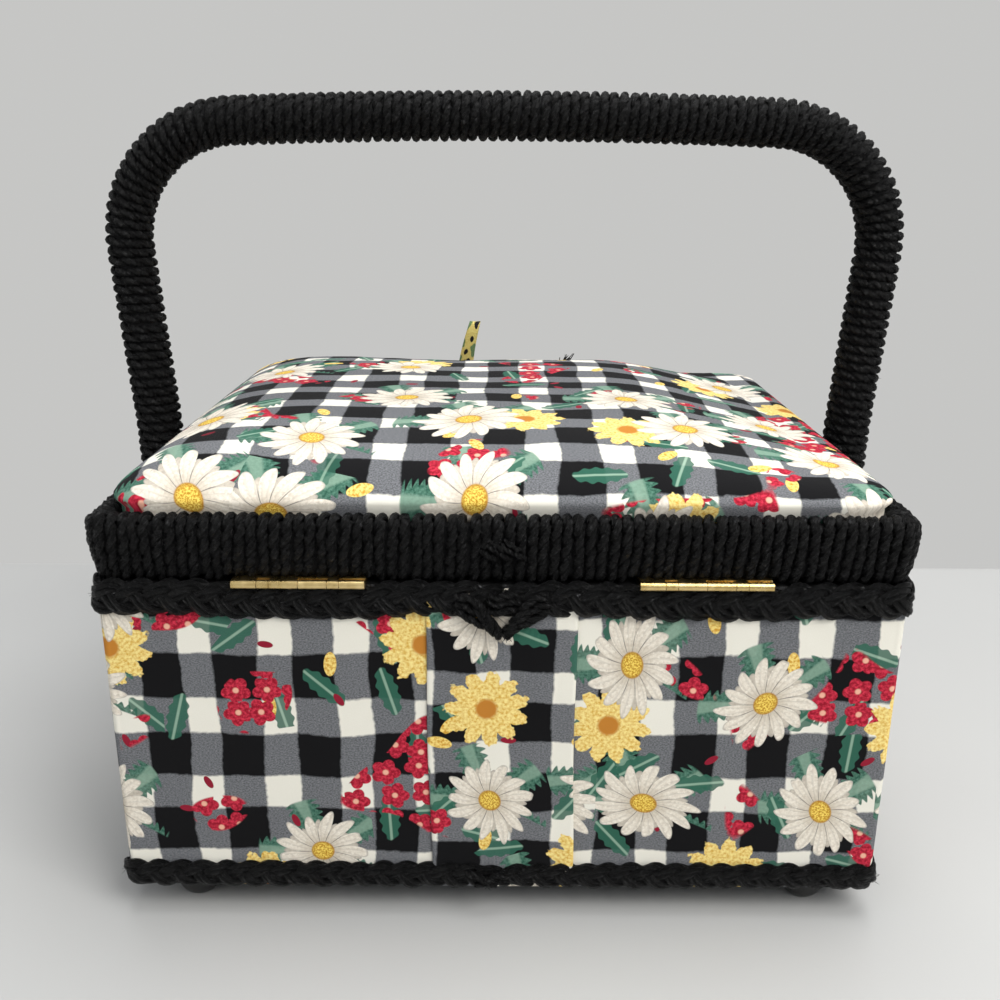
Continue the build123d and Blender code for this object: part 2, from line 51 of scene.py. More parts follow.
# Sizes of the part in millimetres
BODY_X, BODY_Y = 262.0 / 2, 226.0 / 2
BODY_CORNER = 3.0
COVER_LOW, COVER_HIGH = 11.5, 125.0
RIM_X, RIM_Y = 266.0 / 2, 230.0 / 2
RIM_CORNER = 6.5
FRAME_TOP, RIM_TOP = 144.5, 148.5
BODY, RIM = (BODY_X, BODY_Y, BODY_CORNER), (RIM_X, RIM_Y, RIM_CORNER)
CROWN_X, CROWN_Y = 125.7, 107.7
CROWN_RISE, CROWN_RUN, CROWN_FULL = 20.0, 78.0, 2.4
CROWN_CORNER = 14.0
CORD_PITCH, PLY_SIDES = 3.7, 6
PIVOT_LEVEL, KNEE_LEVEL, BAR_LEVEL = 105.0, 150.0, 268.7
HANDLE_HALF, HANDLE_SPLAY, HANDLE_ARCH = 143.1, radians(3.8), 5.5
HANDLE_CORNER, ARCH_RADIUS, KNEE_RADIUS, WRAP_START = 45.0, 2600.0, 300.0, 14.0
HANDLE_RADIUS = 9.4
UPPER_BRAID = (115.4, 127.4)
LOWER_BRAID = (11.5, 21.5)
FOOT_X, FOOT_Y = 110.5, 98.5
HINGE_MIDDLE, HINGE_HALF = 65.0, 21.2
GINGHAM, YARN = 25.3, 0.42
FULL_TURN = 2 * pi
MM = 0.001


class Heap:
    """Points, faces and cloth coordinates gathered for one mesh."""

    def __init__(self):
        self.points, self.faces, self.uv, self.count = [], [], [], 0

    def add(self, points, faces, uv):
        self.points.append(points)
        self.uv.append(uv)
        self.faces.extend([[corner + self.count for corner in face] for face in faces])
        self.count += len(points)

    def place(self, name, body, slot, *replaced, material=None, smooth=True):
        """Make the piece, its cloth coordinates in metres too, in its slot's own material if no
        other is given."""
        mesh = bpy.data.meshes.new(name)
        mesh.from_pydata((np.vstack(self.points) * MM).tolist(), [], self.faces)
        layer = mesh.uv_layers.new(name="cloth")
        corner = np.empty(len(mesh.loops), np.int32)
        mesh.loops.foreach_get("vertex_index", corner)
        layer.data.foreach_set("uv", (np.vstack(self.uv) * MM)[corner].ravel().astype(np.float32))
        mesh.polygons.foreach_set("use_smooth", [smooth] * len(mesh.polygons))
        mesh.materials.append(material or slot_materials[slot])
        mesh.validate()
        mesh.update()
        thing = in_scene(name, mesh)
        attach(thing, body)
        if replaced:
            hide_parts(*replaced)
        return thing


def in_scene(name, data):
    thing = bpy.data.objects.new(name, data)
    bpy.context.scene.collection.objects.link(thing)
    return thing


def unit(vectors):
    return vectors / np.maximum(np.linalg.norm(vectors, axis=-1, keepdims=True), 1e-9)


def runs_along(line):
    """Length of a line up to each of its points."""
    return np.concatenate([[0], np.cumsum(np.linalg.norm(np.diff(line, axis=0), axis=1))])


def quads(*corners):
    """Faces from four grids of point numbers, one grid for each corner."""
    return np.stack(corners, axis=-1).reshape(-1, 4).tolist()


def along_line(places, lengths, line):
    """Points at places along a line whose points stand at the given lengths."""
    return np.stack([np.interp(places, lengths, column) for column in line.T], axis=-1)


def axes_along(line, side):
    """Two directions square to a line and to each other, the first one nearest the given side."""
    tangent = unit(np.gradient(line, axis=0))
    side = unit(side - np.sum(side * tangent, axis=1, keepdims=True) * tangent)
    return side, np.cross(tangent, side)


def loft_faces(rows, wide, ends=False):
    """Faces between rows of points, each row a closed loop; ends closes the first and last row."""
    grid = np.arange(rows * wide).reshape(rows, wide)
    after = np.roll(grid, -1, axis=1)
    faces = quads(grid[:-1], after[:-1], after[1:], grid[1:])
    return faces + ([grid[0, ::-1].tolist(), grid[-1].tolist()] if ends else [])


def closed_loft(points, uv, wide):
    heap = Heap()
    heap.add(points, loft_faces(len(points) // wide, wide, ends=True), uv)
    return heap


def sheet_faces(wide, tall):
    """Faces of a thin sheet: a grid of points, the same grid again behind it, and its edges."""
    face, rear = np.arange(2 * wide * tall).reshape(2, tall, wide)
    return (
        quads(face[:-1, :-1], face[:-1, 1:], face[1:, 1:], face[1:, :-1])
        + quads(rear[:-1, :-1], rear[1:, :-1], rear[1:, 1:], rear[:-1, 1:])
        + quads(face[0, :-1], rear[0, :-1], rear[0, 1:], face[0, 1:])
        + quads(face[-1, :-1], face[-1, 1:], rear[-1, 1:], rear[-1, :-1])
        + quads(face[:-1, 0], face[1:, 0], rear[1:, 0], rear[:-1, 0])
        + quads(face[:-1, -1], rear[:-1, -1], rear[1:, -1], face[1:, -1])
    )


def tube(centres, side, radius_out, radius_across, sides):
    """Points and faces of a tube whose section leans on the given side direction."""
    side, across = axes_along(centres, side)
    angles = np.arange(sides) * FULL_TURN / sides
    out = np.cos(angles)[None, :, None] * side[:, None] * np.reshape(radius_out, (-1, 1, 1))
    over = np.sin(angles)[None, :, None] * across[:, None] * np.reshape(radius_across, (-1, 1, 1))
    points = (centres[:, None] + out + over).reshape(-1, 3)
    rings = len(centres)
    grid = np.arange(rings * sides).reshape(rings, sides)
    after = np.roll(grid, -1, axis=1)
    faces = quads(grid[:-1], grid[1:], after[1:], after[:-1])
    faces += [grid[0].tolist(), grid[-1, ::-1].tolist()]
    uv = np.stack([np.repeat(runs_along(centres), sides), np.tile(angles * 0.9, rings)], axis=1)
    return points, faces, uv


def twisted(heap, path, out, lay, ply_radius, pitch, phase):
    """Two plies twisted round each other along a path; lay and ply radius may change along it."""
    out, across = axes_along(path, out)
    run = runs_along(path)
    for ply in range(2):
        turn = (FULL_TURN * run / pitch + phase + ply * pi)[:, None]
        away = np.cos(turn) * out + np.sin(turn) * across
        thick = ply_radius * (1 + 0.10 * np.sin(run * 1.9 + phase * 3 + ply))
        centres = path + np.reshape(lay, (-1, 1)) * away
        points, faces, uv = tube(centres, away, 0.90 * thick, 1.16 * thick, PLY_SIDES)
        heap.add(points, faces, uv + [phase * 17, ply * 5.0])


def ring_outline(half_x, half_y, radius, places):
    """Points and outward directions at places along a rounded rectangle from the middle of its back,
    and its whole length."""
    line, outs = [], []
    corners = [(1, -1, -pi / 2), (1, 1, 0), (-1, 1, pi / 2), (-1, -1, pi)]
    for sign_x, sign_y, start in corners:
        for angle in np.linspace(start, start + pi / 2, 12):
            x, y = sign_x * (half_x - radius), sign_y * (half_y - radius)
            line.append((x + radius * cos(angle), y + radius * sin(angle)))
            outs.append((cos(angle), sin(angle)))
    line = np.array([(0, -half_y)] + line + [(0, -half_y)])
    outs = np.array([(0, -1)] + outs + [(0, -1)])
    lengths = runs_along(line)
    wrapped = np.mod(places, lengths[-1])
    out = unit(along_line(wrapped, lengths, outs))
    return along_line(wrapped, lengths, line), out, lengths[-1]


def perimeter(half_x, half_y, radius):
    return ring_outline(half_x, half_y, radius, np.zeros(1))[2]


def wander(places, total, spacing, spread):
    """Smooth random drift along a run, from one draw for each spacing."""
    knots = np.arange(0, total + 2 * spacing, spacing)
    return np.interp(places, knots, chance.normal(0, spread, len(knots)))


def smooth_path(corners, step):
    """A smooth line through corners, in even steps."""
    corners = np.asarray(corners, float)
    straight = runs_along(corners)[-1]
    padded = np.vstack([2 * corners[0] - corners[1], corners, 2 * corners[-1] - corners[-2]])
    fine = []
    for k in range(1, len(padded) - 2):
        for t in np.linspace(0, 1, 12, endpoint=False):
            a, b, c, d = padded[k - 1:k + 3]
            square, cube = 2 * a - 5 * b + 4 * c - d, 3 * b - a - 3 * c + d
            fine.append(0.5 * (2 * b + (c - a) * t + square * t**2 + cube * t**3))
    fine = np.array(fine + [corners[-1]])
    lengths = runs_along(fine)
    count = max(int(round(max(lengths[-1], straight) / step)), 3) + 1
    return along_line(np.linspace(0, lengths[-1], count), lengths, fine)


def lumps(x, y, z, size, seed):
    """Smooth noise at a point, from about -1 to 1."""
    return noise.noise(Vector((x / size + seed, y / size - seed, z / size)))


def feed(tree, slot, value):
    """Link a value to a socket, or set a number or a colour on it."""
    value = value.socket if isinstance(value, Value) else value
    if isinstance(value, bpy.types.NodeSocket):
        tree.links.new(value, slot)
    else:
        slot.default_value = (*value, 1) if isinstance(value, tuple) else value


class Value:
    """A shader number that ordinary arithmetic works on."""

    def __init__(self, tree, socket):
        self.tree, self.socket = tree, socket

    def make(self, operation, *others, clamp=False):
        node = self.tree.nodes.new("ShaderNodeMath")
        node.operation = operation
        node.use_clamp = clamp
        for slot, value in zip(node.inputs, (self,) + others):
            feed(self.tree, slot, value)
        return Value(self.tree, node.outputs[0])

    def __add__(self, other):
        return self.make("ADD", other)

    def __sub__(self, other):
        return self.make("SUBTRACT", other)

    def __mul__(self, other):
        return self.make("MULTIPLY", other)

    def __truediv__(self, other):
        return self.make("DIVIDE", other)

    def minus_from(self, number):
        return (self * -1.0) + number

    def above(self, level, blur):
        """0 below a level and 1 above it, with a soft edge."""
        return ((self - level) / blur + 0.5).make("ADD", 0.0, clamp=True)

    def below(self, level, blur):
        return self.above(level, blur).minus_from(1.0)


class Paint:
    """Short names for the nodes of one material."""

    def __init__(self, name, roughness, colour=(0.5, 0.5, 0.5)):
        self.material = bpy.data.materials.new(name)
        self.material.use_nodes = True
        self.tree = self.material.node_tree
        self.shader = self.tree.nodes["Principled BSDF"]
        self.set(Roughness=roughness, Base_Color=colour)
        self.material.diffuse_color = (*colour, 1)

    def node(self, kind, **settings):
        made = self.tree.nodes.new(kind)
        for key, value in settings.items():
            setattr(made, key, value)
        return made

    def give(self, node, *values, **named):
        """Link or set a node's inputs, in their order or by name."""
        for slot, value in zip(node.inputs, values):
            feed(self.tree, slot, value)
        for key, value in named.items():
            feed(self.tree, node.inputs[key.replace("_", " ")], value)
        return node

    def set(self, **named):
        self.give(self.shader, **named)

    def space(self):
        return self.node("ShaderNodeTexCoord").outputs["Object"]

    def split(self, vector):
        parts = self.give(self.node("ShaderNodeSeparateXYZ"), vector)
        return [Value(self.tree, parts.outputs[k]) for k in range(3)]

    def join(self, x, y, z=0.0):
        return self.give(self.node("ShaderNodeCombineXYZ"), x, y, z).outputs[0]

    def noise(self, vector, scale, detail=2.0, rough=0.5):
        made = self.node("ShaderNodeTexNoise")
        self.give(made, Vector=vector, Scale=scale, Detail=detail, Roughness=rough)
        return Value(self.tree, made.outputs["Fac"])

    def mix(self, share, low, high):
        made = self.node("ShaderNodeMix", data_type="RGBA")
        for slot, value in ((0, share), (6, low), (7, high)):
            feed(self.tree, made.inputs[slot], value)
        return made.outputs[2]

    def bump(self, height, strength, distance):
        made = self.give(self.node("ShaderNodeBump"), Strength=strength, Distance=distance, Height=height)
        self.set(Normal=made.outputs[0])

    def colour(self, source):
        self.set(Base_Color=source)

    def cloth_mm(self):
        """Cloth coordinates in millimetres."""
        raw = self.split(self.node("ShaderNodeUVMap", uv_map="cloth").outputs["UV"])
        return raw[0] * 1000.0, raw[1] * 1000.0

    def place_mm(self):
        """The object's own coordinates in millimetres."""
        return [part * 1000.0 for part in self.split(self.space())]


def cell(paint, x, y, size, seed, loose):
    """Nearest of a field of loosely spread places: offset from it in mm, and random numbers for it."""
    where = paint.join(x / size + seed, y / size + seed * 1.7)
    field = paint.node("ShaderNodeTexVoronoi", voronoi_dimensions="2D", feature="F1")
    paint.give(field, Vector=where, Scale=1.0, Randomness=loose)
    centre = paint.split(field.outputs["Position"])
    here = paint.split(where)
    rest = [(here[k] - centre[k]) * size for k in range(2)]
    return rest[0], rest[1], paint.split(field.outputs["Color"])


def polar(x, y):
    return (x * x + y * y).make("SQRT"), y.make("ARCTAN2", x)


def turned(x, y, angle):
    """The same place in axes turned by an angle."""
    cosine, sine = angle.make("COSINE"), angle.make("SINE")
    return x * cosine + y * sine, y * cosine - x * sine


def oval(x, y, long, short, blur):
    """1 inside an oval and 0 outside it."""
    return ((x / long) * (x / long) + (y / short) * (y / short)).below(1.0, blur)


def printed_cloth(name, columns, rows, seed, row_period=29.4, bloom_size=14.0):
    """Black and white gingham strewn with daisies, blossoms and leaves of a generic design."""
    paint = Paint(name, 0.86, (0.4, 0.4, 0.38))
    x, y = paint.cloth_mm()
    flat = paint.join(x, y)
    wobble = paint.noise(flat, 0.035, 1.0) - 0.5
    shake = paint.noise(flat, 0.42, 2.0) - 0.5
    across = x + wobble * 5.0 + shake * 1.1
    along = y + (paint.noise(paint.join(y, x), 0.035, 1.0) - 0.5) * 5.0 - shake * 1.1

    def light(value, start, period):
        place = ((value - start) / period).make("FRACT")
        return (place - 0.5).make("ABSOLUTE").below(0.22, 0.028)

    light_x = light(across, columns, GINGHAM)
    light_y = light(along, rows, row_period)
    grain = paint.noise(flat, 2.6, 3.0, 0.7)
    white = paint.mix(grain, (0.73, 0.70, 0.60), (0.84, 0.82, 0.74))
    thread = paint.noise(paint.join(x, y * 1.7), 1.5, 3.0, 0.75)
    grey = paint.mix(thread.above(0.5, 0.22), (0.085, 0.088, 0.094), (0.205, 0.21, 0.222))
    black = paint.mix(grain, (0.0015, 0.0015, 0.002), (0.006, 0.006, 0.0068))
    one = light_x.make("MAXIMUM", light_y)
    both = light_x * light_y
    ground = paint.mix(both, paint.mix(one, black, grey), white)

    streak = paint.noise(flat, 0.9, 3.0, 0.6)
    daisy_x, daisy_y, daisy_pick = cell(paint, x, y, bloom_size * 3.5, seed + 0.3, 0.66)
    spin = daisy_pick[0] * FULL_TURN
    flat_x, flat_y = turned(daisy_x, daisy_y, spin)
    daisy_r, daisy_a = polar(flat_x, flat_y * (daisy_pick[1] * 0.35 + 1.0))
    daisy_size = daisy_pick[1] * 4.5 + bloom_size
    shown = daisy_pick[2].above(0.16, 0.01)

    # Leaves that fan out from behind each daisy
    lobes = ((daisy_a + spin) * 2.5).make("SINE").make("ABSOLUTE")
    teeth = (daisy_r * 2.3 + daisy_a * 4.0).make("SINE") * 0.09
    reach = daisy_r / (daisy_size * 1.5)
    leaf_edge = lobes - (reach * 0.62) + teeth - 0.26
    side_of = (daisy_a + spin).make("SINE").above(-0.45, 0.02)
    leaf = leaf_edge.above(0.0, 0.05) * reach.below(1.0, 0.03) * shown * side_of
    green = paint.mix(streak.above(0.5, 0.3), (0.018, 0.085, 0.055), (0.10, 0.22, 0.16))
    vein = lobes.above(0.965, 0.03)
    green = paint.mix(vein * 0.6, green, (0.28, 0.42, 0.32))
    ground = paint.mix(leaf * 0.95, ground, green)

    # Loose leaves and thin stems
    leaf_x, leaf_y, leaf_pick = cell(paint, x, y, 23.0, seed + 5.1, 0.9)
    along_leaf, over_leaf = turned(leaf_x, leaf_y, leaf_pick[0] * FULL_TURN)
    slim = over_leaf / 3.3 + (along_leaf * 1.6).make("SINE") * 0.12
    loose = oval(along_leaf, slim, 9.0, 1.0, 0.12) * leaf_pick[2].above(0.52, 0.01)
    pale = paint.mix(over_leaf.make("ABSOLUTE").below(0.45, 0.4), (0.03, 0.12, 0.08), (0.26, 0.40, 0.30))
    ground = paint.mix(loose * 0.9, ground, pale)

    # Yellow buds and small dark red ones
    bud_x, bud_y, bud_pick = cell(paint, x, y, 31.0, seed + 9.4, 0.95)
    along_bud, over_bud = turned(bud_x, bud_y, bud_pick[1] * FULL_TURN)
    bud = oval(along_bud, over_bud, 4.4, 2.1, 0.15)
    golden = paint.mix(streak.above(0.48, 0.2), (0.60, 0.30, 0.03), (0.86, 0.68, 0.22))
    ground = paint.mix(bud * bud_pick[2].above(0.55, 0.01), ground, golden)
    tiny = oval(along_bud, over_bud, 2.6, 1.2, 0.2)
    ground = paint.mix(tiny * bud_pick[2].below(0.36, 0.01), ground, (0.26, 0.012, 0.03))

    # Red blossoms in loose clusters
    red_x, red_y, red_pick = cell(paint, x, y, 10.5, seed + 2.2, 0.55)
    red_r, red_a = polar(red_x, red_y)
    crowd = paint.noise(paint.join(x / 34.0 + seed, y / 34.0), 1.0, 0.0)
    petals = (red_a * 2.5 + red_pick[0] * 6.0).make("COSINE").make("ABSOLUTE") * 1.5 + 3.6
    blossom = (petals - red_r).above(0.0, 0.35) * crowd.above(0.625, 0.01)
    crimson = paint.mix(streak.above(0.52, 0.2), (0.28, 0.008, 0.022), (0.62, 0.035, 0.07))
    crimson = paint.mix(red_r.below(1.0, 0.5), crimson, (0.80, 0.42, 0.30))
    ground = paint.mix(blossom, ground, crimson)

    # Ragged yellow flowers
    gold_x, gold_y, gold_pick = cell(paint, x, y, 88.0, seed + 7.7, 0.8)
    gold_r, gold_a = polar(gold_x, gold_y)
    frill = (gold_a * 5.5 + gold_pick[0] * 6.0).make("COSINE").make("ABSOLUTE") * 4.2
    notch = (paint.noise(flat, 0.5, 1.0) - 0.5) * 4.0
    gold = (frill + notch + 10.0 - gold_r).above(0.0, 0.5)
    yellow = paint.mix(streak.above(0.47, 0.25), (0.66, 0.38, 0.06), (0.88, 0.72, 0.28))
    yellow = paint.mix(gold_r.below(3.6, 1.2), yellow, (0.50, 0.20, 0.03))
    ground = paint.mix(gold, ground, yellow)

    # Daisies: two tiers of uneven cream petals round a stippled yellow heart
    def tier(ground, turned, share, low, high):
        place = daisy_a + daisy_r * 0.014 + turned
        petal = (place * 6.5).make("COSINE").make("ABSOLUTE")
        around = paint.join(place.make("COSINE") * 2.1 + spin, place.make("SINE") * 2.1 + turned)
        uneven = paint.noise(around, 1.0, 1.0)
        tip = petal.make("POWER", 0.62) * 0.66 + uneven * 0.58 + (share - 0.90)
        nick = (place * 24.0 + spin).make("SINE") * 0.35
        edge = daisy_size * tip - daisy_r + nick
        tone = paint.mix(streak.above(0.5, 0.5), low, high)
        lines = (place * 33.0 + streak * 6.0).make("SINE").above(0.6, 0.5)
        tone = paint.mix(lines * 0.28, tone, (0.40, 0.36, 0.30))
        tone = paint.mix((daisy_r / daisy_size).below(0.42, 0.35) * 0.55, tone, (0.40, 0.33, 0.24))
        tone = paint.mix(edge.below(0.55, 0.5) * 0.5, tone, (0.30, 0.28, 0.25))
        tone = paint.mix(petal.below(0.13, 0.12) * 0.85, tone, (0.13, 0.12, 0.11))
        return paint.mix(edge.above(0.0, 0.35) * shown, ground, tone)

    ground = tier(ground, 0.0, 0.80, (0.42, 0.37, 0.31), (0.66, 0.60, 0.50))
    ground = tier(ground, 0.2417, 1.02, (0.62, 0.55, 0.45), (0.88, 0.83, 0.73))
    heart = (daisy_r / daisy_size).below(0.27, 0.03) * shown
    dots = paint.noise(flat, 1.5, 2.0, 0.8).above(0.5, 0.1)
    yolk = paint.mix(dots, (0.50, 0.25, 0.02), (0.86, 0.66, 0.14))
    yolk = paint.mix((daisy_r / daisy_size).above(0.22, 0.06) * 0.7, yolk, (0.35, 0.15, 0.02))
    ground = paint.mix(heart, ground, yolk)

    paint.colour(ground)
    warp = (x * (FULL_TURN / YARN)).make("SINE")
    weft = (y * (FULL_TURN / YARN)).make("SINE")
    paint.bump(warp * weft + grain * 1.4, 0.30, 0.00018)
    paint.set(Sheen_Weight=0.02, Sheen_Roughness=0.5, Specular_IOR_Level=0.12)
    return paint.material


def leafy_cloth(name):
    """The corner of the print that the small tab is cut from: leaf, petal and a little black."""
    paint = Paint(name, 0.86, (0.3, 0.32, 0.15))
    flat = paint.join(*paint.cloth_mm())
    patch = paint.noise(flat, 0.16, 1.0)
    streak = paint.noise(flat, 1.1, 3.0, 0.6)
    leaf = paint.mix(streak, (0.03, 0.10, 0.04), (0.22, 0.30, 0.14))
    petal = paint.mix(streak, (0.42, 0.30, 0.05), (0.74, 0.66, 0.26))
    tone = paint.mix(patch.above(0.47, 0.03), leaf, petal)
    paint.colour(paint.mix(patch.above(0.60, 0.02), tone, (0.012, 0.012, 0.013)))
    paint.bump(streak, 0.3, 0.0002)
    paint.set(Specular_IOR_Level=0.15)
    return paint.material


def cord_black(name, rough, stretch):
    """Black twisted cord of flat shiny fibre, with thin pale streaks painted into its colour as
    highlights.
    """
    paint = Paint(name, rough, (0.006, 0.006, 0.0065))
    x, y = paint.cloth_mm()
    fibre = paint.noise(paint.join(x * 0.35, y * stretch), 1.6, 3.0, 0.65)
    patch = paint.noise(paint.join(x, y), 0.12, 2.0)
    dark = paint.mix(fibre.above(0.5, 0.5), (0.0008, 0.0008, 0.0009), (0.0036, 0.0037, 0.0040))
    dark = paint.mix(patch.above(0.62, 0.2) * 0.5, dark, (0.010, 0.0097, 0.0094))
    # Thin pale streaks along the fibres, mixed into the colour: painted highlights on the fibres
    painted_glint = paint.noise(paint.join(x * 0.28, y * stretch * 0.8), 2.1, 2.0, 0.5)
    paint.colour(paint.mix(painted_glint.above(0.66, 0.05), dark, (0.11, 0.11, 0.115)))
    paint.set(Roughness=fibre.above(0.5, 0.45) * 0.24 + (rough - 0.12))
    paint.bump(fibre, 1.0, 0.0009)
    paint.set(Specular_IOR_Level=0.19)
    return paint.material


def plain_cloth(name, low, high, period, sheen=0.15):
    paint = Paint(name, 0.9, high)
    x, y, z = paint.place_mm()
    place = paint.join(x, y, z)
    grain = paint.noise(place, 1.8, 3.0, 0.7)
    cloud = paint.noise(place, 0.03, 2.0)
    paint.colour(paint.mix(grain * 0.6 + cloud * 0.4, low, high))
    warp = ((x + z) * (FULL_TURN / period)).make("SINE")
    weft = ((y + z) * (FULL_TURN / period)).make("SINE")
    paint.bump(warp * weft + grain, 0.35, 0.0002)
    paint.set(Sheen_Weight=sheen, Specular_IOR_Level=0.2)
    return paint.material


def plain_wood(name, low, high, rough, bands):
    paint = Paint(name, rough, high)
    x, y, z = paint.place_mm()
    figure = paint.noise(paint.join(x * 0.03, y * 0.3, z * bands), 1.0, 4.0, 0.6)
    pores = paint.noise(paint.join(x * 0.15, y * 2.2, z * 2.2), 1.0, 3.0, 0.7)
    paint.colour(paint.mix(figure * 0.6 + pores * 0.4, low, high))
    paint.bump(pores, 0.25, 0.0002)
    return paint.material


def metal(name, low, high, rough, scale):
    paint = Paint(name, rough, high)
    where = paint.space()
    wear = paint.noise(where, scale, 3.0, 0.6)
    fine = paint.noise(where, scale * 9.0, 2.0, 0.6)
    paint.colour(paint.mix(wear.above(0.5, 0.5), low, high))
    paint.set(Roughness=wear * 0.25 + (rough - 0.1))
    paint.bump(fine, 0.12, 0.0001)
    paint.set(Metallic=1.0)
    return paint.material


def moulded(name, low, high, rough):
    paint = Paint(name, rough, high)
    where = paint.space()
    cloud = paint.noise(where, 40.0, 2.0)
    fine = paint.noise(where, 900.0, 2.0)
    paint.colour(paint.mix(cloud, low, high))
    paint.set(Roughness=cloud * 0.2 + (rough - 0.1))
    paint.bump(fine, 0.08, 0.0001)
    return paint.material


body_print = printed_cloth("printed_cloth_body", -74.45 - 12.65, 78.3 - 14.7, 3.0)
strip_print = printed_cloth("printed_cloth_strip", -2.9 - 12.65, 63.2 - 13.4, 21.0, 26.7)
lid_print = printed_cloth("printed_cloth_lid", 0.0, 0.0, 40.0, 25.4, 16.5)
tab_print = leafy_cloth("printed_cloth_tab")
rim_black = cord_black("wound_cord_black", 0.30, 5.0)
braid_black = cord_black("braid_cord_black", 0.28, 4.0)
lining_material = plain_cloth("lining_cloth", (0.62, 0.58, 0.48), (0.80, 0.77, 0.68), 0.6)
base_material = plain_cloth("base_cloth", (0.003, 0.003, 0.003), (0.010, 0.010, 0.011), 0.7, 0.0)
foot_material = moulded("foot_plastic", (0.006, 0.006, 0.006), (0.018, 0.018, 0.018), 0.32)
slot_materials = {
    "printed_cloth": body_print, "braid_cord": braid_black, "wound_cord": rim_black,
    "lining_cloth": lining_material, "pad_foam": lining_material, "base_cloth": base_material,
    "foot_plastic": foot_material,
    "plywood": plain_wood("plywood", (0.42, 0.28, 0.14), (0.70, 0.54, 0.34), 0.6, 0.3),
    "cane": plain_wood("cane", (0.36, 0.22, 0.09), (0.62, 0.44, 0.22), 0.45, 0.4),
    "tray_plastic": moulded("tray_plastic", (0.74, 0.72, 0.64), (0.84, 0.82, 0.75), 0.35),
    "hinge_brass": metal("hinge_brass", (0.46, 0.31, 0.10), (0.86, 0.68, 0.34), 0.26, 160.0),
    "screw_steel": metal("screw_steel", (0.35, 0.35, 0.34), (0.62, 0.62, 0.60), 0.32, 220.0),
    "pivot_steel": metal("pivot_steel", (0.010, 0.010, 0.010), (0.035, 0.034, 0.032), 0.40, 180.0),
}
for part in frame["record"]["subparts"]:
    thing = nodes[part["node"]]
    thing.data.materials.clear()
    thing.data.materials.append(slot_materials[part["material_slot"]])


# Cord wound round the lid's rim. Each turn is a line of insets and levels that starts below the
# frame; at the hinges it starts at the frame's edge, so as to leave their leaves free
outer_turn = [
    (4.7, 127.7), (3.7, 129.4), (2.9, 132.6), (2.2, 136.4), (1.8, 140.3), (1.75, 143.8),
    (2.1, 146.1), (3.2, 147.2), (5.2, 147.2), (7.2, 146.4), (8.3, 145.2),
]
long_turn = smooth_path([(16.0, 127.0), (12.0, 126.9), (7.5, 126.9)] + outer_turn, 0.95)
short_turn = smooth_path([(6.6, 128.9)] + outer_turn[1:], 0.95)
CORD_LAY, CORD_PLY, CORD_TWIST = 0.85, 1.16, 11.4
AT_SIDE, HINGE_ROOM = 1.5, 2.5
rim_length = perimeter(*RIM)
rim_turns = int(round(rim_length / CORD_PITCH))
rim_heaps = {side: Heap() for side in ("back", "right", "front", "left")}


def rim_side(x, y):
    if abs(y) > RIM_Y - AT_SIDE:
        return "back" if y < 0 else "front"
    return "right" if x > 0 else "left"


for number in range(rim_turns):
    middle = (number + 0.5) * rim_length / rim_turns
    x, y = ring_outline(*RIM, np.array([middle]))[0][0]
    side = rim_side(x, y)
    at_hinge = side == "back" and abs(abs(x) - HINGE_MIDDLE) < HINGE_HALF + HINGE_ROOM
    turn_path = short_turn if at_hinge else long_turn
    slope = unit(np.gradient(turn_path, axis=0))
    share = np.linspace(-0.5, 0.5, len(turn_path))
    lean = 0.9 + chance.normal(0, 0.35)
    jitter = chance.normal(0, 0.20)
    places = middle + jitter + share * lean * 2 + 0.25 * np.sin(share * 9 + number * 1.3)
    point, out, _ = ring_outline(*RIM, places)
    sink = chance.uniform(0, 0.3)
    inset = turn_path[:, :1] + sink * np.clip(np.cos(share * pi), 0, 1)[:, None]
    path = np.concatenate([point - out * inset, turn_path[:, 1:]], axis=1)
    away = np.concatenate([out * slope[:, 1:], slope[:, :1]], axis=1)
    below = np.clip((turn_path[:, 0] - 5.0) / 2.5, 0, 1) * (turn_path[:, 1] < 128.5)
    lay, ply = CORD_LAY * (1 - 0.75 * below), CORD_PLY * (1 - 0.42 * below)
    twist = CORD_TWIST + chance.normal(0, 0.5)
    twisted(rim_heaps[side], path, away, lay, ply, twist, chance.uniform(0, FULL_TURN))
for side, heap in rim_heaps.items():
    heap.place("rim_cord_" + side, "lid", "wound_cord", "rim_wrap")


def swept_ring(heap, profile, half_x, half_y, radius, stations):
    """A closed band: a profile of insets and levels carried round a rounded rectangle."""
    places = np.linspace(0, perimeter(half_x, half_y, radius), stations, endpoint=False)
    point, out, _ = ring_outline(half_x, half_y, radius, places)
    points = [(*(point[k] - out[k] * inset), level) for k in range(stations) for inset, level in profile]
    uv = [(place, step * 1.5) for place in places for step in range(len(profile))]
    count = len(points)
    faces = [[corner % count for corner in face] for face in loft_faces(stations + 1, len(profile))]
    heap.add(points, faces, uv)


# Layer of cord ends and tape under the outer turns, dark between them
under = Heap()
swept_ring(under, [
    (4.6, 128.2), (3.9, 130.0), (3.2, 134.0), (2.8, 140.0), (2.9, 143.6), (3.4, 145.2), (4.8, 145.9),
    (6.8, 145.6), (6.8, 144.8), (5.6, 144.9), (5.4, 143.8), (5.3, 136.0), (5.5, 128.4),
], *RIM, 260)
below_frame = [(6.1, 127.97), (17.6, 127.97), (17.6, 127.72), (6.1, 127.72)]
swept_ring(under, below_frame, *RIM, 260)
under.place("rim_under_tape", "lid", "wound_cord", "rim_wrap", material=base_material, smooth=False)

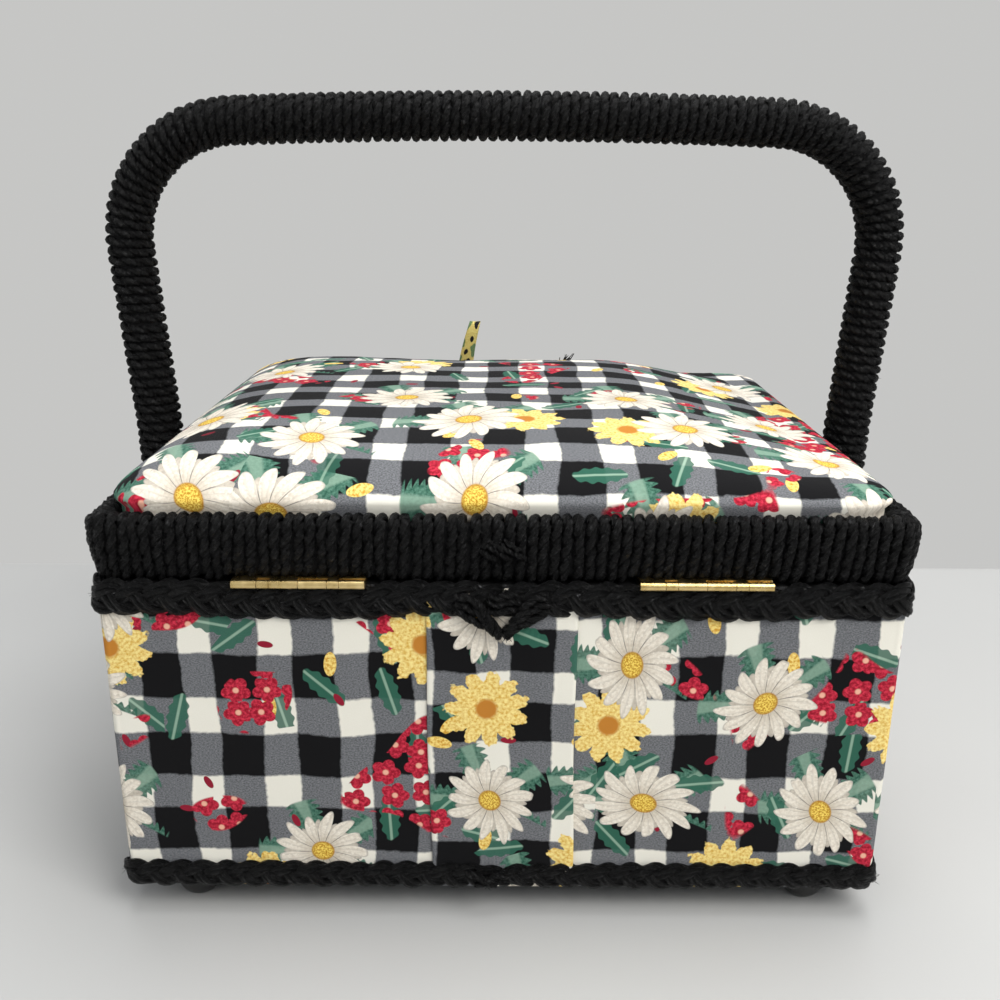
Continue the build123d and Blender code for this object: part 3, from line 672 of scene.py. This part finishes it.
# Cord wound round the handle, one long helix
corner_x = HANDLE_HALF + (BAR_LEVEL - KNEE_LEVEL) * tan(HANDLE_SPLAY)
half = [(-HANDLE_HALF, PIVOT_LEVEL + WRAP_START), (-HANDLE_HALF, KNEE_LEVEL), (-corner_x, BAR_LEVEL)]
route_corners = half + [(0, BAR_LEVEL + HANDLE_ARCH)] + [(-x, level) for x, level in half[::-1]]
route_radii = [KNEE_RADIUS, HANDLE_CORNER, ARCH_RADIUS, HANDLE_CORNER, KNEE_RADIUS]


def rounded_route(corners, radii):
    corners = np.array(corners, float)
    line = [corners[0]]
    for k, radius in enumerate(radii, 1):
        before, after = unit(corners[k - 1] - corners[k]), unit(corners[k + 1] - corners[k])
        half = np.arccos(np.clip(before @ after, -1, 1)) / 2
        centre = corners[k] + unit(before + after) * radius / sin(half)
        start = corners[k] + before * radius / tan(half)
        end = corners[k] + after * radius / tan(half)
        first = np.arctan2(*(start - centre)[::-1])
        sweep = np.arctan2(*(end - centre)[::-1]) - first
        sweep = (sweep + pi) % FULL_TURN - pi
        for t in np.linspace(0, 1, 25):
            angle = first + sweep * t
            line.append(centre + radius * np.array([cos(angle), sin(angle)]))
    line.append(corners[-1])
    return np.array(line)


route = rounded_route(route_corners, route_radii)
TURN_STEPS, SMOOTHING, CORD_END = 40, 60, 0.9
CORD_DEPTH, TAPE_RADIUS = 1.95, HANDLE_RADIUS - 2.1
route_lengths = runs_along(route)
handle_length = route_lengths[-1]
steps = int(handle_length / CORD_PITCH * TURN_STEPS)
runs = np.linspace(CORD_END, handle_length - CORD_END, steps)
line = along_line(runs, route_lengths, route)
window = 2 * SMOOTHING + 1
padded = np.pad(line, ((SMOOTHING, SMOOTHING), (0, 0)), mode="reflect", reflect_type="odd")
mean = np.ones(window) / window
smooth_line = np.stack([np.convolve(padded[:, k], mean, "valid") for k in range(2)], axis=1)
along = unit(np.gradient(smooth_line, axis=0))
level_y = np.zeros(steps)
in_plane = np.stack([-along[:, 1], level_y, along[:, 0]], axis=1)
forward = np.stack([along[:, 0], level_y, along[:, 1]], axis=1)
centre_line = np.stack([line[:, 0], level_y, line[:, 1]], axis=1)
sway = wander(runs, handle_length, 4.0, 0.16) * 1.2
angle = (FULL_TURN * runs / CORD_PITCH)[:, None]
away = np.cos(angle) * in_plane + np.sin(angle) * np.array([0.0, 1.0, 0.0])
helix = centre_line + (HANDLE_RADIUS - CORD_DEPTH) * away + sway[:, None] * forward
for name, first, last in (("left", 0, 0.3), ("bar", 0.3, 0.7), ("right", 0.7, 1.0)):
    rows = slice(max(int(first * steps) - 1, 0), int(last * steps) + 1)
    heap = Heap()
    twisted(heap, helix[rows], away[rows], 0.86, 1.17, 10.9, 0.4 + first * steps / TURN_STEPS)
    heap.place("handle_cord_" + name, "handle", "wound_cord", "handle_wrap")
under = Heap()
under.add(*tube(centre_line[::TURN_STEPS], in_plane[::TURN_STEPS], TAPE_RADIUS, TAPE_RADIUS, 20))
under.place("handle_under_tape", "handle", "wound_cord", "handle_wrap", material=base_material)


BRAID_PROUD, BRAID_STEP, STRANDS, YARNS, YARN_TWIST = 1.9, 1.15, 3, 4, 23.0


def braid(low, high, crossing, dip, seed):
    """Three strands of four yarns plaited round the body, with a dark band behind them."""
    middle, half = (low + high) / 2, (high - low) / 2
    total = perimeter(BODY_X + BRAID_PROUD / 2, BODY_Y + BRAID_PROUD / 2, BODY_CORNER + 1)
    crossings = int(round(total / crossing))
    crossings += (-crossings) % STRANDS
    period = STRANDS * total / crossings
    count = int(total / BRAID_STEP)
    run = np.linspace(0.0, total, count)
    on_wall = run * perimeter(*BODY) / total
    point, out, _ = ring_outline(*BODY, on_wall)
    from_join = np.minimum(run, total - run)
    from_hinge = np.maximum(np.abs(from_join - HINGE_MIDDLE) - HINGE_HALF, 0)
    dips = dip * (np.exp(-(from_join / 8) ** 2) + 1.6 * np.exp(-(from_hinge / 7.0) ** 2))
    heap = Heap()
    band = [(0.1, low + 1.2), (-0.45, low + 1.2), (-0.45, high - 1.2), (0.1, high - 1.2)]
    swept_ring(heap, band, *BODY, 240)
    for strand in range(STRANDS):
        phase = FULL_TURN * run / period + strand * FULL_TURN / STRANDS
        wide = half - 2.0 - 0.9 * np.exp(-(from_join / 6) ** 2)
        height = middle + wide * np.sin(phase) + wander(run, total, 15.0, 0.22) - dips
        depth = 0.45 + 0.75 * np.sin(2 * phase + 0.3)
        centre = np.concatenate([point + out * depth[:, None], height[:, None]], axis=1)
        face = np.concatenate([out, np.zeros((count, 1))], axis=1)
        across = unit(np.cross(unit(np.gradient(centre, axis=0)), face)) * (half * 0.25)
        for yarn in range(YARNS):
            turn = FULL_TURN * run / YARN_TWIST + yarn * FULL_TURN / YARNS + strand + seed
            away = np.cos(turn)[:, None] * face * 0.55 + np.sin(turn)[:, None] * across
            thick = 0.90 + 0.12 * np.sin(run * 0.7 + yarn * 2 + strand)
            points, faces, uv = tube(centre + away, face, thick * 0.8, thick * 1.25, 6)
            heap.add(points, faces, uv + [yarn * 31.0 + strand * 7.0, yarn * 3.0])
    return heap


upper = braid(*UPPER_BRAID, 8.8, 0.8, 0.0)
lower = braid(*LOWER_BRAID, 8.0, 0.0, 2.0)


def tuft(heap, base, direction, length, count, spread, radius, seed, curl=0.4):
    """Loose fibres that stand out from a point."""
    rng = np.random.default_rng(seed)
    for _ in range(count):
        aim = unit(np.array(direction, float) + rng.normal(0, spread, 3))
        bend = rng.normal(0, curl, 3)
        reach = length * rng.uniform(0.5, 1.0)
        t = np.linspace(0, 1, 7)[:, None]
        path = np.array(base) + rng.normal(0, 0.5, 3) + aim * reach * t + bend * reach * t**2 * 0.5
        side = unit(np.cross(aim, rng.normal(0, 1, 3)))
        taper = radius * (1 - 0.6 * t[:, 0])
        heap.add(*tube(path, np.repeat(side[None], len(t), axis=0), taper, taper, 5))


def short_strand(heap, corners, radius, pitch, phase):
    """A short twisted strand on the back, through the given corners."""
    path = smooth_path(corners, 0.7)
    outs = np.repeat(np.array([[0.0, -1.0, 0.0]]), len(path), axis=0)
    twisted(heap, path, outs, radius * 0.75, radius, pitch, phase)


# The upper braid's ends meet at the back in a knot that hangs in a point
back = -BODY_Y
for side in (-1, 1):
    for row in range(3):
        top, tip_x = 123.0 - 2.5 * row, 0.24 + 0.4 * row
        short_strand(upper, [
            (side * 15.0, back - 1.6, top), (side * 9.0, back - 2.6, top - 1.5 - row),
            (side * 4.5, back - 2.9, 115.6 - row * 1.6), (side * tip_x, back - 1.9, 109.6 - row * 0.5),
        ], 0.95, 9.0, row + side)
for level in (123.3, 121.0, 118.2):
    short_strand(upper, [
        (-4.6, back - 1.6, level), (-1.5, back - 3.2, level - 0.6),
        (1.6, back - 3.1, level + 0.4), (4.8, back - 1.6, level - 0.5),
    ], 0.8, 8.0, level)
tuft(upper, (1.0, back - 2.2, 109.4), (0.1, -0.3, -1), 2.6, 7, 0.35, 0.16, 3)
tuft(upper, (-130.6, back + 3.0, 121.5), (-1, -0.2, 0.0), 3.4, 5, 0.3, 0.11, 5)
tuft(upper, (130.8, back + 4.0, 120.5), (1, -0.2, -0.1), 3.4, 5, 0.3, 0.11, 6)
upper.place("upper_braid_cord", "base", "braid_cord", "upper_braid")
for side in (-1, 1):
    short_strand(lower, [
        (side * 7.0 - 5, back - 1.4, 18.0), (side * 3.0 - 5, back - 2.9, 17.3),
        (-5.0 - side * 0.8, back - 3.0, 15.0), (-5 - side * 3.5, back - 2.2, 13.5),
    ], 0.85, 8.0, side)
tuft(lower, (-5.0, back - 2.4, 13.9), (0.2, -0.4, -1), 2.4, 6, 0.4, 0.15, 8)
tuft(lower, (130.0, back + 1.0, 15.5), (1, -0.6, 0.2), 4.0, 9, 0.35, 0.12, 9)
tuft(lower, (-130.0, back + 1.0, 18.5), (-1, -0.4, 0.1), 3.0, 5, 0.35, 0.11, 10)
lower.place("lower_braid_cord", "base", "braid_cord", "lower_braid")

# Mended spot in the middle of the rim, loose fibres, and the cord's tail at the front
ends = Heap()
for number in range(7):
    lift = 136.9 + 1.3 * (number % 3) + chance.uniform(-0.4, 0.4)
    off = -4.0 + number * 1.5
    short_strand(ends, [
        (off - 2.6, -RIM_Y + 1.4, lift + 1.4), (off - 0.8, -RIM_Y - 0.5, lift + 0.6),
        (off + 0.9, -RIM_Y - 0.4, lift - 0.7), (off + 2.2, -RIM_Y + 1.3, lift - 1.8),
    ], 0.62, 6.0, number)
tuft(ends, (26.0, RIM_Y - 4.0, 147.0), (0.42, 0.0, 0.90), 17.0, 14, 0.10, 0.55, 12, curl=0.15)
tuft(ends, (30.5, RIM_Y - 4.0, 158.0), (0.75, 0.0, 0.55), 6.5, 12, 0.22, 0.40, 13)
for number in range(26):
    place = chance.uniform(0, rim_length)
    point, out, _ = ring_outline(*RIM, np.array([place]))
    base = (*(point[0] - out[0]), chance.uniform(130, 147.5))
    tuft(ends, base, (*out[0], chance.normal(0, 0.5)), 2.4, 1, 0.4, 0.09, 100 + number)
ends.place("rim_cord_ends", "lid", "wound_cord")
fuzz = Heap()
for number in range(30):
    row = int(chance.integers(200, steps - 200))
    tuft(fuzz, helix[row] + away[row] * 1.2, away[row], 2.2, 1, 0.5, 0.08, 300 + number)
fuzz.place("handle_cord_fibres", "handle", "wound_cord")


# Printed cloth round the body: one closed skin with its ends under the join strip
CLOTH_THICK, CLOTH_SLACK = 1.1, 0.9


def wall_places(total):
    """Places round the walls, closer together at the corners."""
    arc = pi / 2 * BODY_CORNER
    half_x, run_y = BODY_X - BODY_CORNER, 2 * (BODY_Y - BODY_CORNER)
    starts = [half_x, half_x + arc + run_y]
    starts += [3 * half_x + 2 * arc + run_y, 3 * half_x + 3 * arc + 2 * run_y]
    corners = [np.linspace(start - 0.8, start + arc + 0.8, 10) for start in starts]
    return np.unique(np.round(np.concatenate([np.linspace(0, total, 380)] + corners), 4))


def wall_skin():
    total = perimeter(*BODY)
    places, levels = wall_places(total), np.linspace(COVER_LOW, COVER_HIGH, 34)
    surplus = total - round(total / GINGHAM) * GINGHAM
    along_wall = [0.0, BODY_X, total - BODY_X, total]
    along_cloth = [0.0, BODY_X, total - BODY_X - surplus, total - surplus]
    across = np.interp(places, along_wall, along_cloth)
    point, out, _ = ring_outline(*BODY, places)
    flat = 1 - 0.9 * np.minimum(3.2 * np.abs(out[:, 0] * out[:, 1]), 1.0)
    grid, uv = [], []
    for depth in (0.0, CLOTH_THICK):
        for level in levels:
            ease = min((level - COVER_LOW) / 12.0, (COVER_HIGH - level) / 12.0, 1.0)
            for k, place in enumerate(places):
                fold = lumps(place, level, 0.0, 34.0, 4.0) + 0.22 * lumps(place, level, 5.0, 9.0, 4.0)
                give = depth + (0.28 + 0.28 * CLOTH_SLACK * fold * ease) * flat[k]
                grid.append((*(point[k] - out[k] * give), level))
                uv.append((across[k], level))
    heap = Heap()
    heap.add(grid, sheet_faces(len(places), len(levels)), uv)
    return heap


body_cloth = wall_skin().place("body_cloth", "base", "printed_cloth", "body_cover")

# Dark sheet over the top edge of the walls: painted shade, standing in for the shadow in the gap under the
# lid's rim
edge_shade_sheet = Heap()
on_edge = [(0.5, 125.22), (9.4, 125.22), (9.4, 125.02), (0.5, 125.02)]
swept_ring(edge_shade_sheet, on_edge, *BODY, 240)
edge_shade_piece = edge_shade_sheet.place("wall_edge_shade_sheet", "base", "base_cloth", smooth=False)

# Strip of the same cloth over the join, its two sides folded under
fold = [(-24.5, 0.15), (-24.6, 0.55), (-24.2, 0.95), (-23.2, 1.0)]
middle = [(x, 0.66 + 0.1 * cos(x * 0.5)) for x in np.linspace(-20, 20, 21)]
strip_path = fold + middle + [(-x, proud) for x, proud in fold[::-1]]
strip_points, strip_uv = [], []
strip_levels = np.linspace(COVER_LOW + 0.2, COVER_HIGH, 40)
for level in strip_levels:
    sway = 0.35 * sin(level * 0.07) - (level - 70) * 0.008
    for x, proud in strip_path:
        ripple = 0.12 * lumps(x, level, 0.0, 11.0, 9.0)
        strip_points.append((x + sway, back + 0.15 - proud * 0.9 - ripple, level))
        strip_uv.append((x, level))
strip_cloth = closed_loft(strip_points, strip_uv, len(strip_path)).place(
    "rear_join_cloth", "base", "printed_cloth", "rear_join_strip", material=strip_print)


# Padded lid: cloth drawn over a crowned pad
def crown_height(inset):
    run = min(max(inset / CROWN_RUN, 0.0), 1.0)
    return CROWN_RISE * (1 - (1 - run) ** CROWN_FULL) ** (1 / CROWN_FULL)


def smooth_step(share):
    share = min(max(share, 0.0), 1.0)
    return share * share * (3 - 2 * share)


table_inset = np.linspace(0, CROWN_RUN, 400)
table_height = np.array([crown_height(inset) for inset in table_inset])
table_slope = np.hypot(np.diff(table_inset), np.diff(table_height)) - np.diff(table_inset)
table_extra = np.concatenate([[0], np.cumsum(table_slope)])


def crown_uv(x, y):
    """Cloth coordinates: the flat place with the extra length that the crown's slope takes up."""
    extra_x = table_extra[-1] - np.interp(CROWN_X - abs(x), table_inset, table_extra)
    extra_y = table_extra[-1] - np.interp(CROWN_Y - abs(y), table_inset, table_extra)
    return x + np.sign(x) * extra_x, y + np.sign(y) * extra_y


def cushion_ring(half_x, half_y, radius):
    """A loop of evenly spaced points round the cushion."""
    places = np.linspace(0, 1, CUSHION_AROUND, endpoint=False) * perimeter(half_x, half_y, radius)
    return ring_outline(half_x, half_y, radius, places)[:2]


def cushion_sag(x, y, ease):
    """Drop of the cushion, which has sunk on the right and stands a little high on the left."""
    right = smooth_step((x - 40.0) / 62.0) * (5.0 + 2.0 * smooth_step((y + 100.0) / 90.0))
    return ease * (right - 1.6 * smooth_step((-x - 40.0) / 60.0))


CUSHION_AROUND = 288
SKIRT_DROPS = (RIM_TOP - FRAME_TOP - 0.3, 2.0)
crown_insets = [
    0.0, 0.25, 0.6, 1.1, 1.8, 2.7, 3.8, 5.2, 7, 9, 11.5, 14.5, 18, 22, 26.5, 31, 36, 41.5, 47, 53, 59,
    65, 71, 78, 84, 90, 96, 101, 105, 107.4,
]
pad_points, pad_uv = [], []
for drop in SKIRT_DROPS:
    for x, y in cushion_ring(CROWN_X, CROWN_Y, CROWN_CORNER)[0]:
        pad_points.append((x, y, RIM_TOP - drop))
        u, v = crown_uv(x, y)
        pad_uv.append((u, v + np.sign(y) * drop * (abs(y) > CROWN_Y - 2)))
for inset in crown_insets:
    radius = max(min(CROWN_CORNER + inset / 10, CROWN_Y - inset - 0.05), 0.05)
    swell = 2.4 * smooth_step((crown_height(inset) - 0.8) / 2.5) * np.exp(-inset / 4.0)
    point, out = cushion_ring(CROWN_X - inset + swell, CROWN_Y - inset + swell, radius)
    ease = min(inset / 14.0, 1.0)
    tight = min(inset / 3.0, 1.0) * np.exp(-inset / 11.0)
    for k, (x, y) in enumerate(point):
        uneven = 0.75 * lumps(x, y, 0.0, 42.0, 2.0) + 0.22 * lumps(x, y, 3.0, 13.0, 6.0)
        pull = 0.42 * lumps(k * 1.9, 0.0, 0.0, 2.6, 8.0) * tight
        height = crown_height(inset) + ease * uneven + pull - cushion_sag(x, y, ease)
        pad_points.append((x, y, RIM_TOP + height))
        pad_uv.append(crown_uv(x - out[k, 0] * swell, y - out[k, 1] * swell))
lid_cushion = closed_loft(pad_points, pad_uv, CUSHION_AROUND).place(
    "lid_cushion", "lid", "printed_cloth", "lid_cover", "lid_pad", material=lid_print)

# Loop of cloth at the front for lifting the lid
TAB_X, TAB_Y, TAB_BEND = -20.0, 109.2, 150.0
tab_line = smooth_path([
    (TAB_Y + off, level) for off, level in (
        (-0.9, 144.9), (-0.8, 152.0), (-1.4, 160.0), (-2.1, 170.0), (-2.2, 175.0), (-1.2, 178.6),
        (0.4, 179.5), (1.8, 178.2), (2.4, 174.0), (1.9, 165.0), (1.0, 154.0), (0.9, 144.9),
    )
], 0.9)
tab_slope = unit(np.gradient(tab_line, axis=0))
tab_run = runs_along(tab_line)
tab_section = [
    (-3.9, -0.38), (-4.0, 0.0), (-3.9, 0.38), (-2.2, 0.34), (0, 0.28), (2.2, 0.34),
    (3.9, 0.38), (4.0, 0.0), (3.9, -0.38), (2.2, -0.34), (0, -0.3), (-2.2, -0.34),
]
tab_points, tab_uv = [], []
for k, (y, z) in enumerate(tab_line):
    rise = max(z - TAB_BEND, 0) / 30.0
    twist = 0.5 * rise
    for x, thick in tab_section:
        offset = thick + 0.18 * lumps(x, tab_run[k], 0, 6.0, 1.0)
        narrowed = x * (1 - 0.22 * rise)
        tab_points.append((
            TAB_X + narrowed * cos(twist) + 5.6 * rise**1.6,
            y - tab_slope[k, 1] * offset + narrowed * sin(twist) * 0.5,
            z + tab_slope[k, 0] * offset,
        ))
        tab_uv.append((x + 15.0, tab_run[k] * 0.8 + 18.0))
loop_tab = closed_loft(tab_points, tab_uv, len(tab_section)).place(
    "pull_loop", "lid", "printed_cloth", "pull_tab", material=tab_print)


# Cloth-covered linings
def soft_panel(heap, centre, across, upward, width, height, thick, bulge, seed):
    """A thin covered card with rolled edges whose face is slightly full."""
    centre, across, upward = (np.array(each, float) for each in (centre, across, upward))
    face = np.cross(across, upward)
    columns, rows = max(int(width / 7), 6), max(int(height / 7), 4)
    xs = np.concatenate([[-1, -0.985], np.linspace(-0.94, 0.94, columns), [0.985, 1]]) * width / 2
    ys = np.concatenate([[-1, -0.985], np.linspace(-0.94, 0.94, rows), [0.985, 1]]) * height / 2
    points, uv = [], []
    for side in (1, -1):
        for y in ys:
            for x in xs:
                edge = min(width / 2 - abs(x), height / 2 - abs(y))
                roll = (1 - min(edge / 1.5, 1.0)) ** 2 * 0.5 * thick
                full = bulge * (min(edge / 14.0, 1.0) - 1.0)
                full += bulge * 0.5 * (lumps(x, y, 0, 30.0, seed) - 1)
                depth = thick / 2 - roll + (full * min(edge / 3.0, 1.0) if side == 1 else 0)
                points.append(centre + across * x + upward * y + face * side * depth)
                uv.append((x, y))
    heap.add(points, sheet_faces(len(xs), len(ys)), uv)


def node_box(node):
    low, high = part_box(node)
    return np.array(low) * 1000.0, np.array(high) * 1000.0


def flat_card(name, node, upward, bulge, seed, body, slot):
    """A covered card in the place of a thin flat node."""
    low, high = node_box(node)
    width, height, thick = high - low
    heap = Heap()
    soft_panel(
        heap, (low + high) / 2, (1, 0, 0), (0, upward, 0), width - 2 * CARD_GAP, height - 2 * CARD_GAP,
        thick - 0.04, bulge, seed)
    return heap.place(name, body, slot, node)


CARD_GAP, WALL_CARD = 0.2, 1.16
lid_card = flat_card("lid_lining_card", "lid_lining", -1, 0.25, 1.0, "lid", "lining_cloth")
floor_card = flat_card("floor_lining_card", "lining_floor", 1, 0.25, 2.0, "base", "lining_cloth")
low, high = node_box("lining_walls")
heap = Heap()
middle, half = (low + high) / 2, (high - low) / 2
tall = high[2] - low[2] - 0.1
for sign in (-1, 1):
    place = (middle[0], sign * (half[1] - 0.6), middle[2])
    soft_panel(heap, place, (sign, 0, 0), (0, 0, 1), 2 * half[0] - 0.2, tall, WALL_CARD, 0.25, 3.0 + sign)
    place = (sign * (half[0] - 0.6), middle[1], middle[2])
    soft_panel(heap, place, (0, -sign, 0), (0, 0, 1), 2 * half[1] - 2.6, tall, WALL_CARD, 0.25, 6.0 + sign)
wall_cards = heap.place("wall_lining_cards", "base", "lining_cloth", "lining_walls")

# Backing cloth under the bottom board
backing = flat_card("base_backing_cloth", "bottom_cover", -1, 0.2, 12.0, "base", "base_cloth")

# Turned black feet
feet = Heap()
FOOT_SPOKES = 40
foot_profile = [
    (0.01, 0.02), (4.6, 0.02), (5.4, 0.25), (6.6, 1.5), (7.6, 3.2), (8.15, 5.4), (8.3, 7.4), (8.05, 9.2),
    (7.3, 10.7), (6.9, 11.45), (0.01, 11.45),
]
for foot_x in (-FOOT_X, FOOT_X):
    for foot_y in (-FOOT_Y, FOOT_Y):
        points, uv = [], []
        for radius, level in foot_profile:
            for k in range(FOOT_SPOKES):
                angle = FULL_TURN * k / FOOT_SPOKES
                points.append((foot_x + radius * cos(angle), foot_y + radius * sin(angle), level))
                uv.append((k * 1.2, level))
        feet.add(points, loft_faces(len(foot_profile), FOOT_SPOKES), uv)
feet.place("domed_feet", "base", "foot_plastic", "feet")

# Stage: a pale table that turns into a plain backdrop tone behind the box and far from it
WALL_LINE, BACKDROP, STAGE_HALF = 0.2265, (0.565, 0.565, 0.555), 9
table = Paint("stage_table", 0.62, (0.62, 0.62, 0.61))
where = table.split(table.space())
blot = table.noise(table.space(), 3.0, 3.0)
table.colour(table.mix(blot, (0.415, 0.415, 0.405), (0.47, 0.47, 0.46)))
glow = table.give(table.node("ShaderNodeEmission"), BACKDROP)
far = (where[0] * where[0] + where[1] * where[1]).make("SQRT").above(0.95, 0.7)
backdrop = where[1].above(WALL_LINE, 0.004).make("MAXIMUM", far)
blend = table.give(table.node("ShaderNodeMixShader"), backdrop, table.shader.outputs[0], glow.outputs[0])
table.give(table.tree.nodes["Material Output"], Surface=blend.outputs[0])
floor_mesh = bpy.data.meshes.new("stage_floor")
corners = [(x * STAGE_HALF, y * STAGE_HALF, 0) for x, y in ((-1, -1), (1, -1), (1, 1), (-1, 1))]
floor_mesh.from_pydata(corners, [], [(0, 1, 2, 3)])
floor_mesh.materials.append(table.material)
in_scene("stage_floor", floor_mesh)

world = bpy.data.worlds.new("studio")
bpy.context.scene.world = world
world.use_nodes = True
sky = world.node_tree
light_back = sky.nodes["Background"]
feed(sky, light_back.inputs["Color"], (0.92, 0.95, 1.0))
feed(sky, light_back.inputs["Strength"], 0.38)
seen_back = sky.nodes.new("ShaderNodeBackground")
feed(sky, seen_back.inputs["Color"], BACKDROP)
rays = sky.nodes.new("ShaderNodeLightPath")
pick = sky.nodes.new("ShaderNodeMixShader")
seen = Value(sky, rays.outputs["Is Camera Ray"])
for kind in ("Is Glossy Ray", "Is Transmission Ray"):
    seen = seen.make("MAXIMUM", Value(sky, rays.outputs[kind]))
for slot, source in zip(pick.inputs, (seen, light_back.outputs[0], seen_back.outputs[0])):
    feed(sky, slot, source)
feed(sky, sky.nodes["World Output"].inputs["Surface"], pick.outputs[0])


def area_light(name, place, target, size, power, colour):
    lamp = bpy.data.lights.new(name, "AREA")
    lamp.shape = "RECTANGLE"
    lamp.size, lamp.size_y = size
    lamp.energy = power
    lamp.color = colour
    thing = in_scene(name, lamp)
    thing.location = place
    thing.rotation_euler = (Vector(target) - Vector(place)).to_track_quat("-Z", "Y").to_euler()


area_light("window", (0.70, -0.80, 1.05), (0, 0, 0.12), (0.7, 0.7), 16.5, (1.0, 0.99, 0.97))
area_light("ceiling", (0.20, 0.10, 1.5), (0, 0, 0.1), (1.2, 1.0), 19.5, (1.0, 1.0, 1.0))
area_light("fill", (-0.9, -0.7, 0.6), (0, 0, 0.12), (0.8, 0.8), 2.5, (0.96, 0.98, 1.0))

camera_data = bpy.data.cameras.new("camera")
camera_data.sensor_width = 36.0
camera_data.lens = 36.77
camera_data.clip_start = 0.01
camera = in_scene("camera", camera_data)
camera.location = (-0.0003, -0.416, 0.2505)
camera.rotation_euler = Euler((radians(90 - 17.58), radians(-0.27), radians(0.2)), "XYZ")
bpy.context.scene.camera = camera
bpy.context.scene.view_settings.view_transform = "Standard"
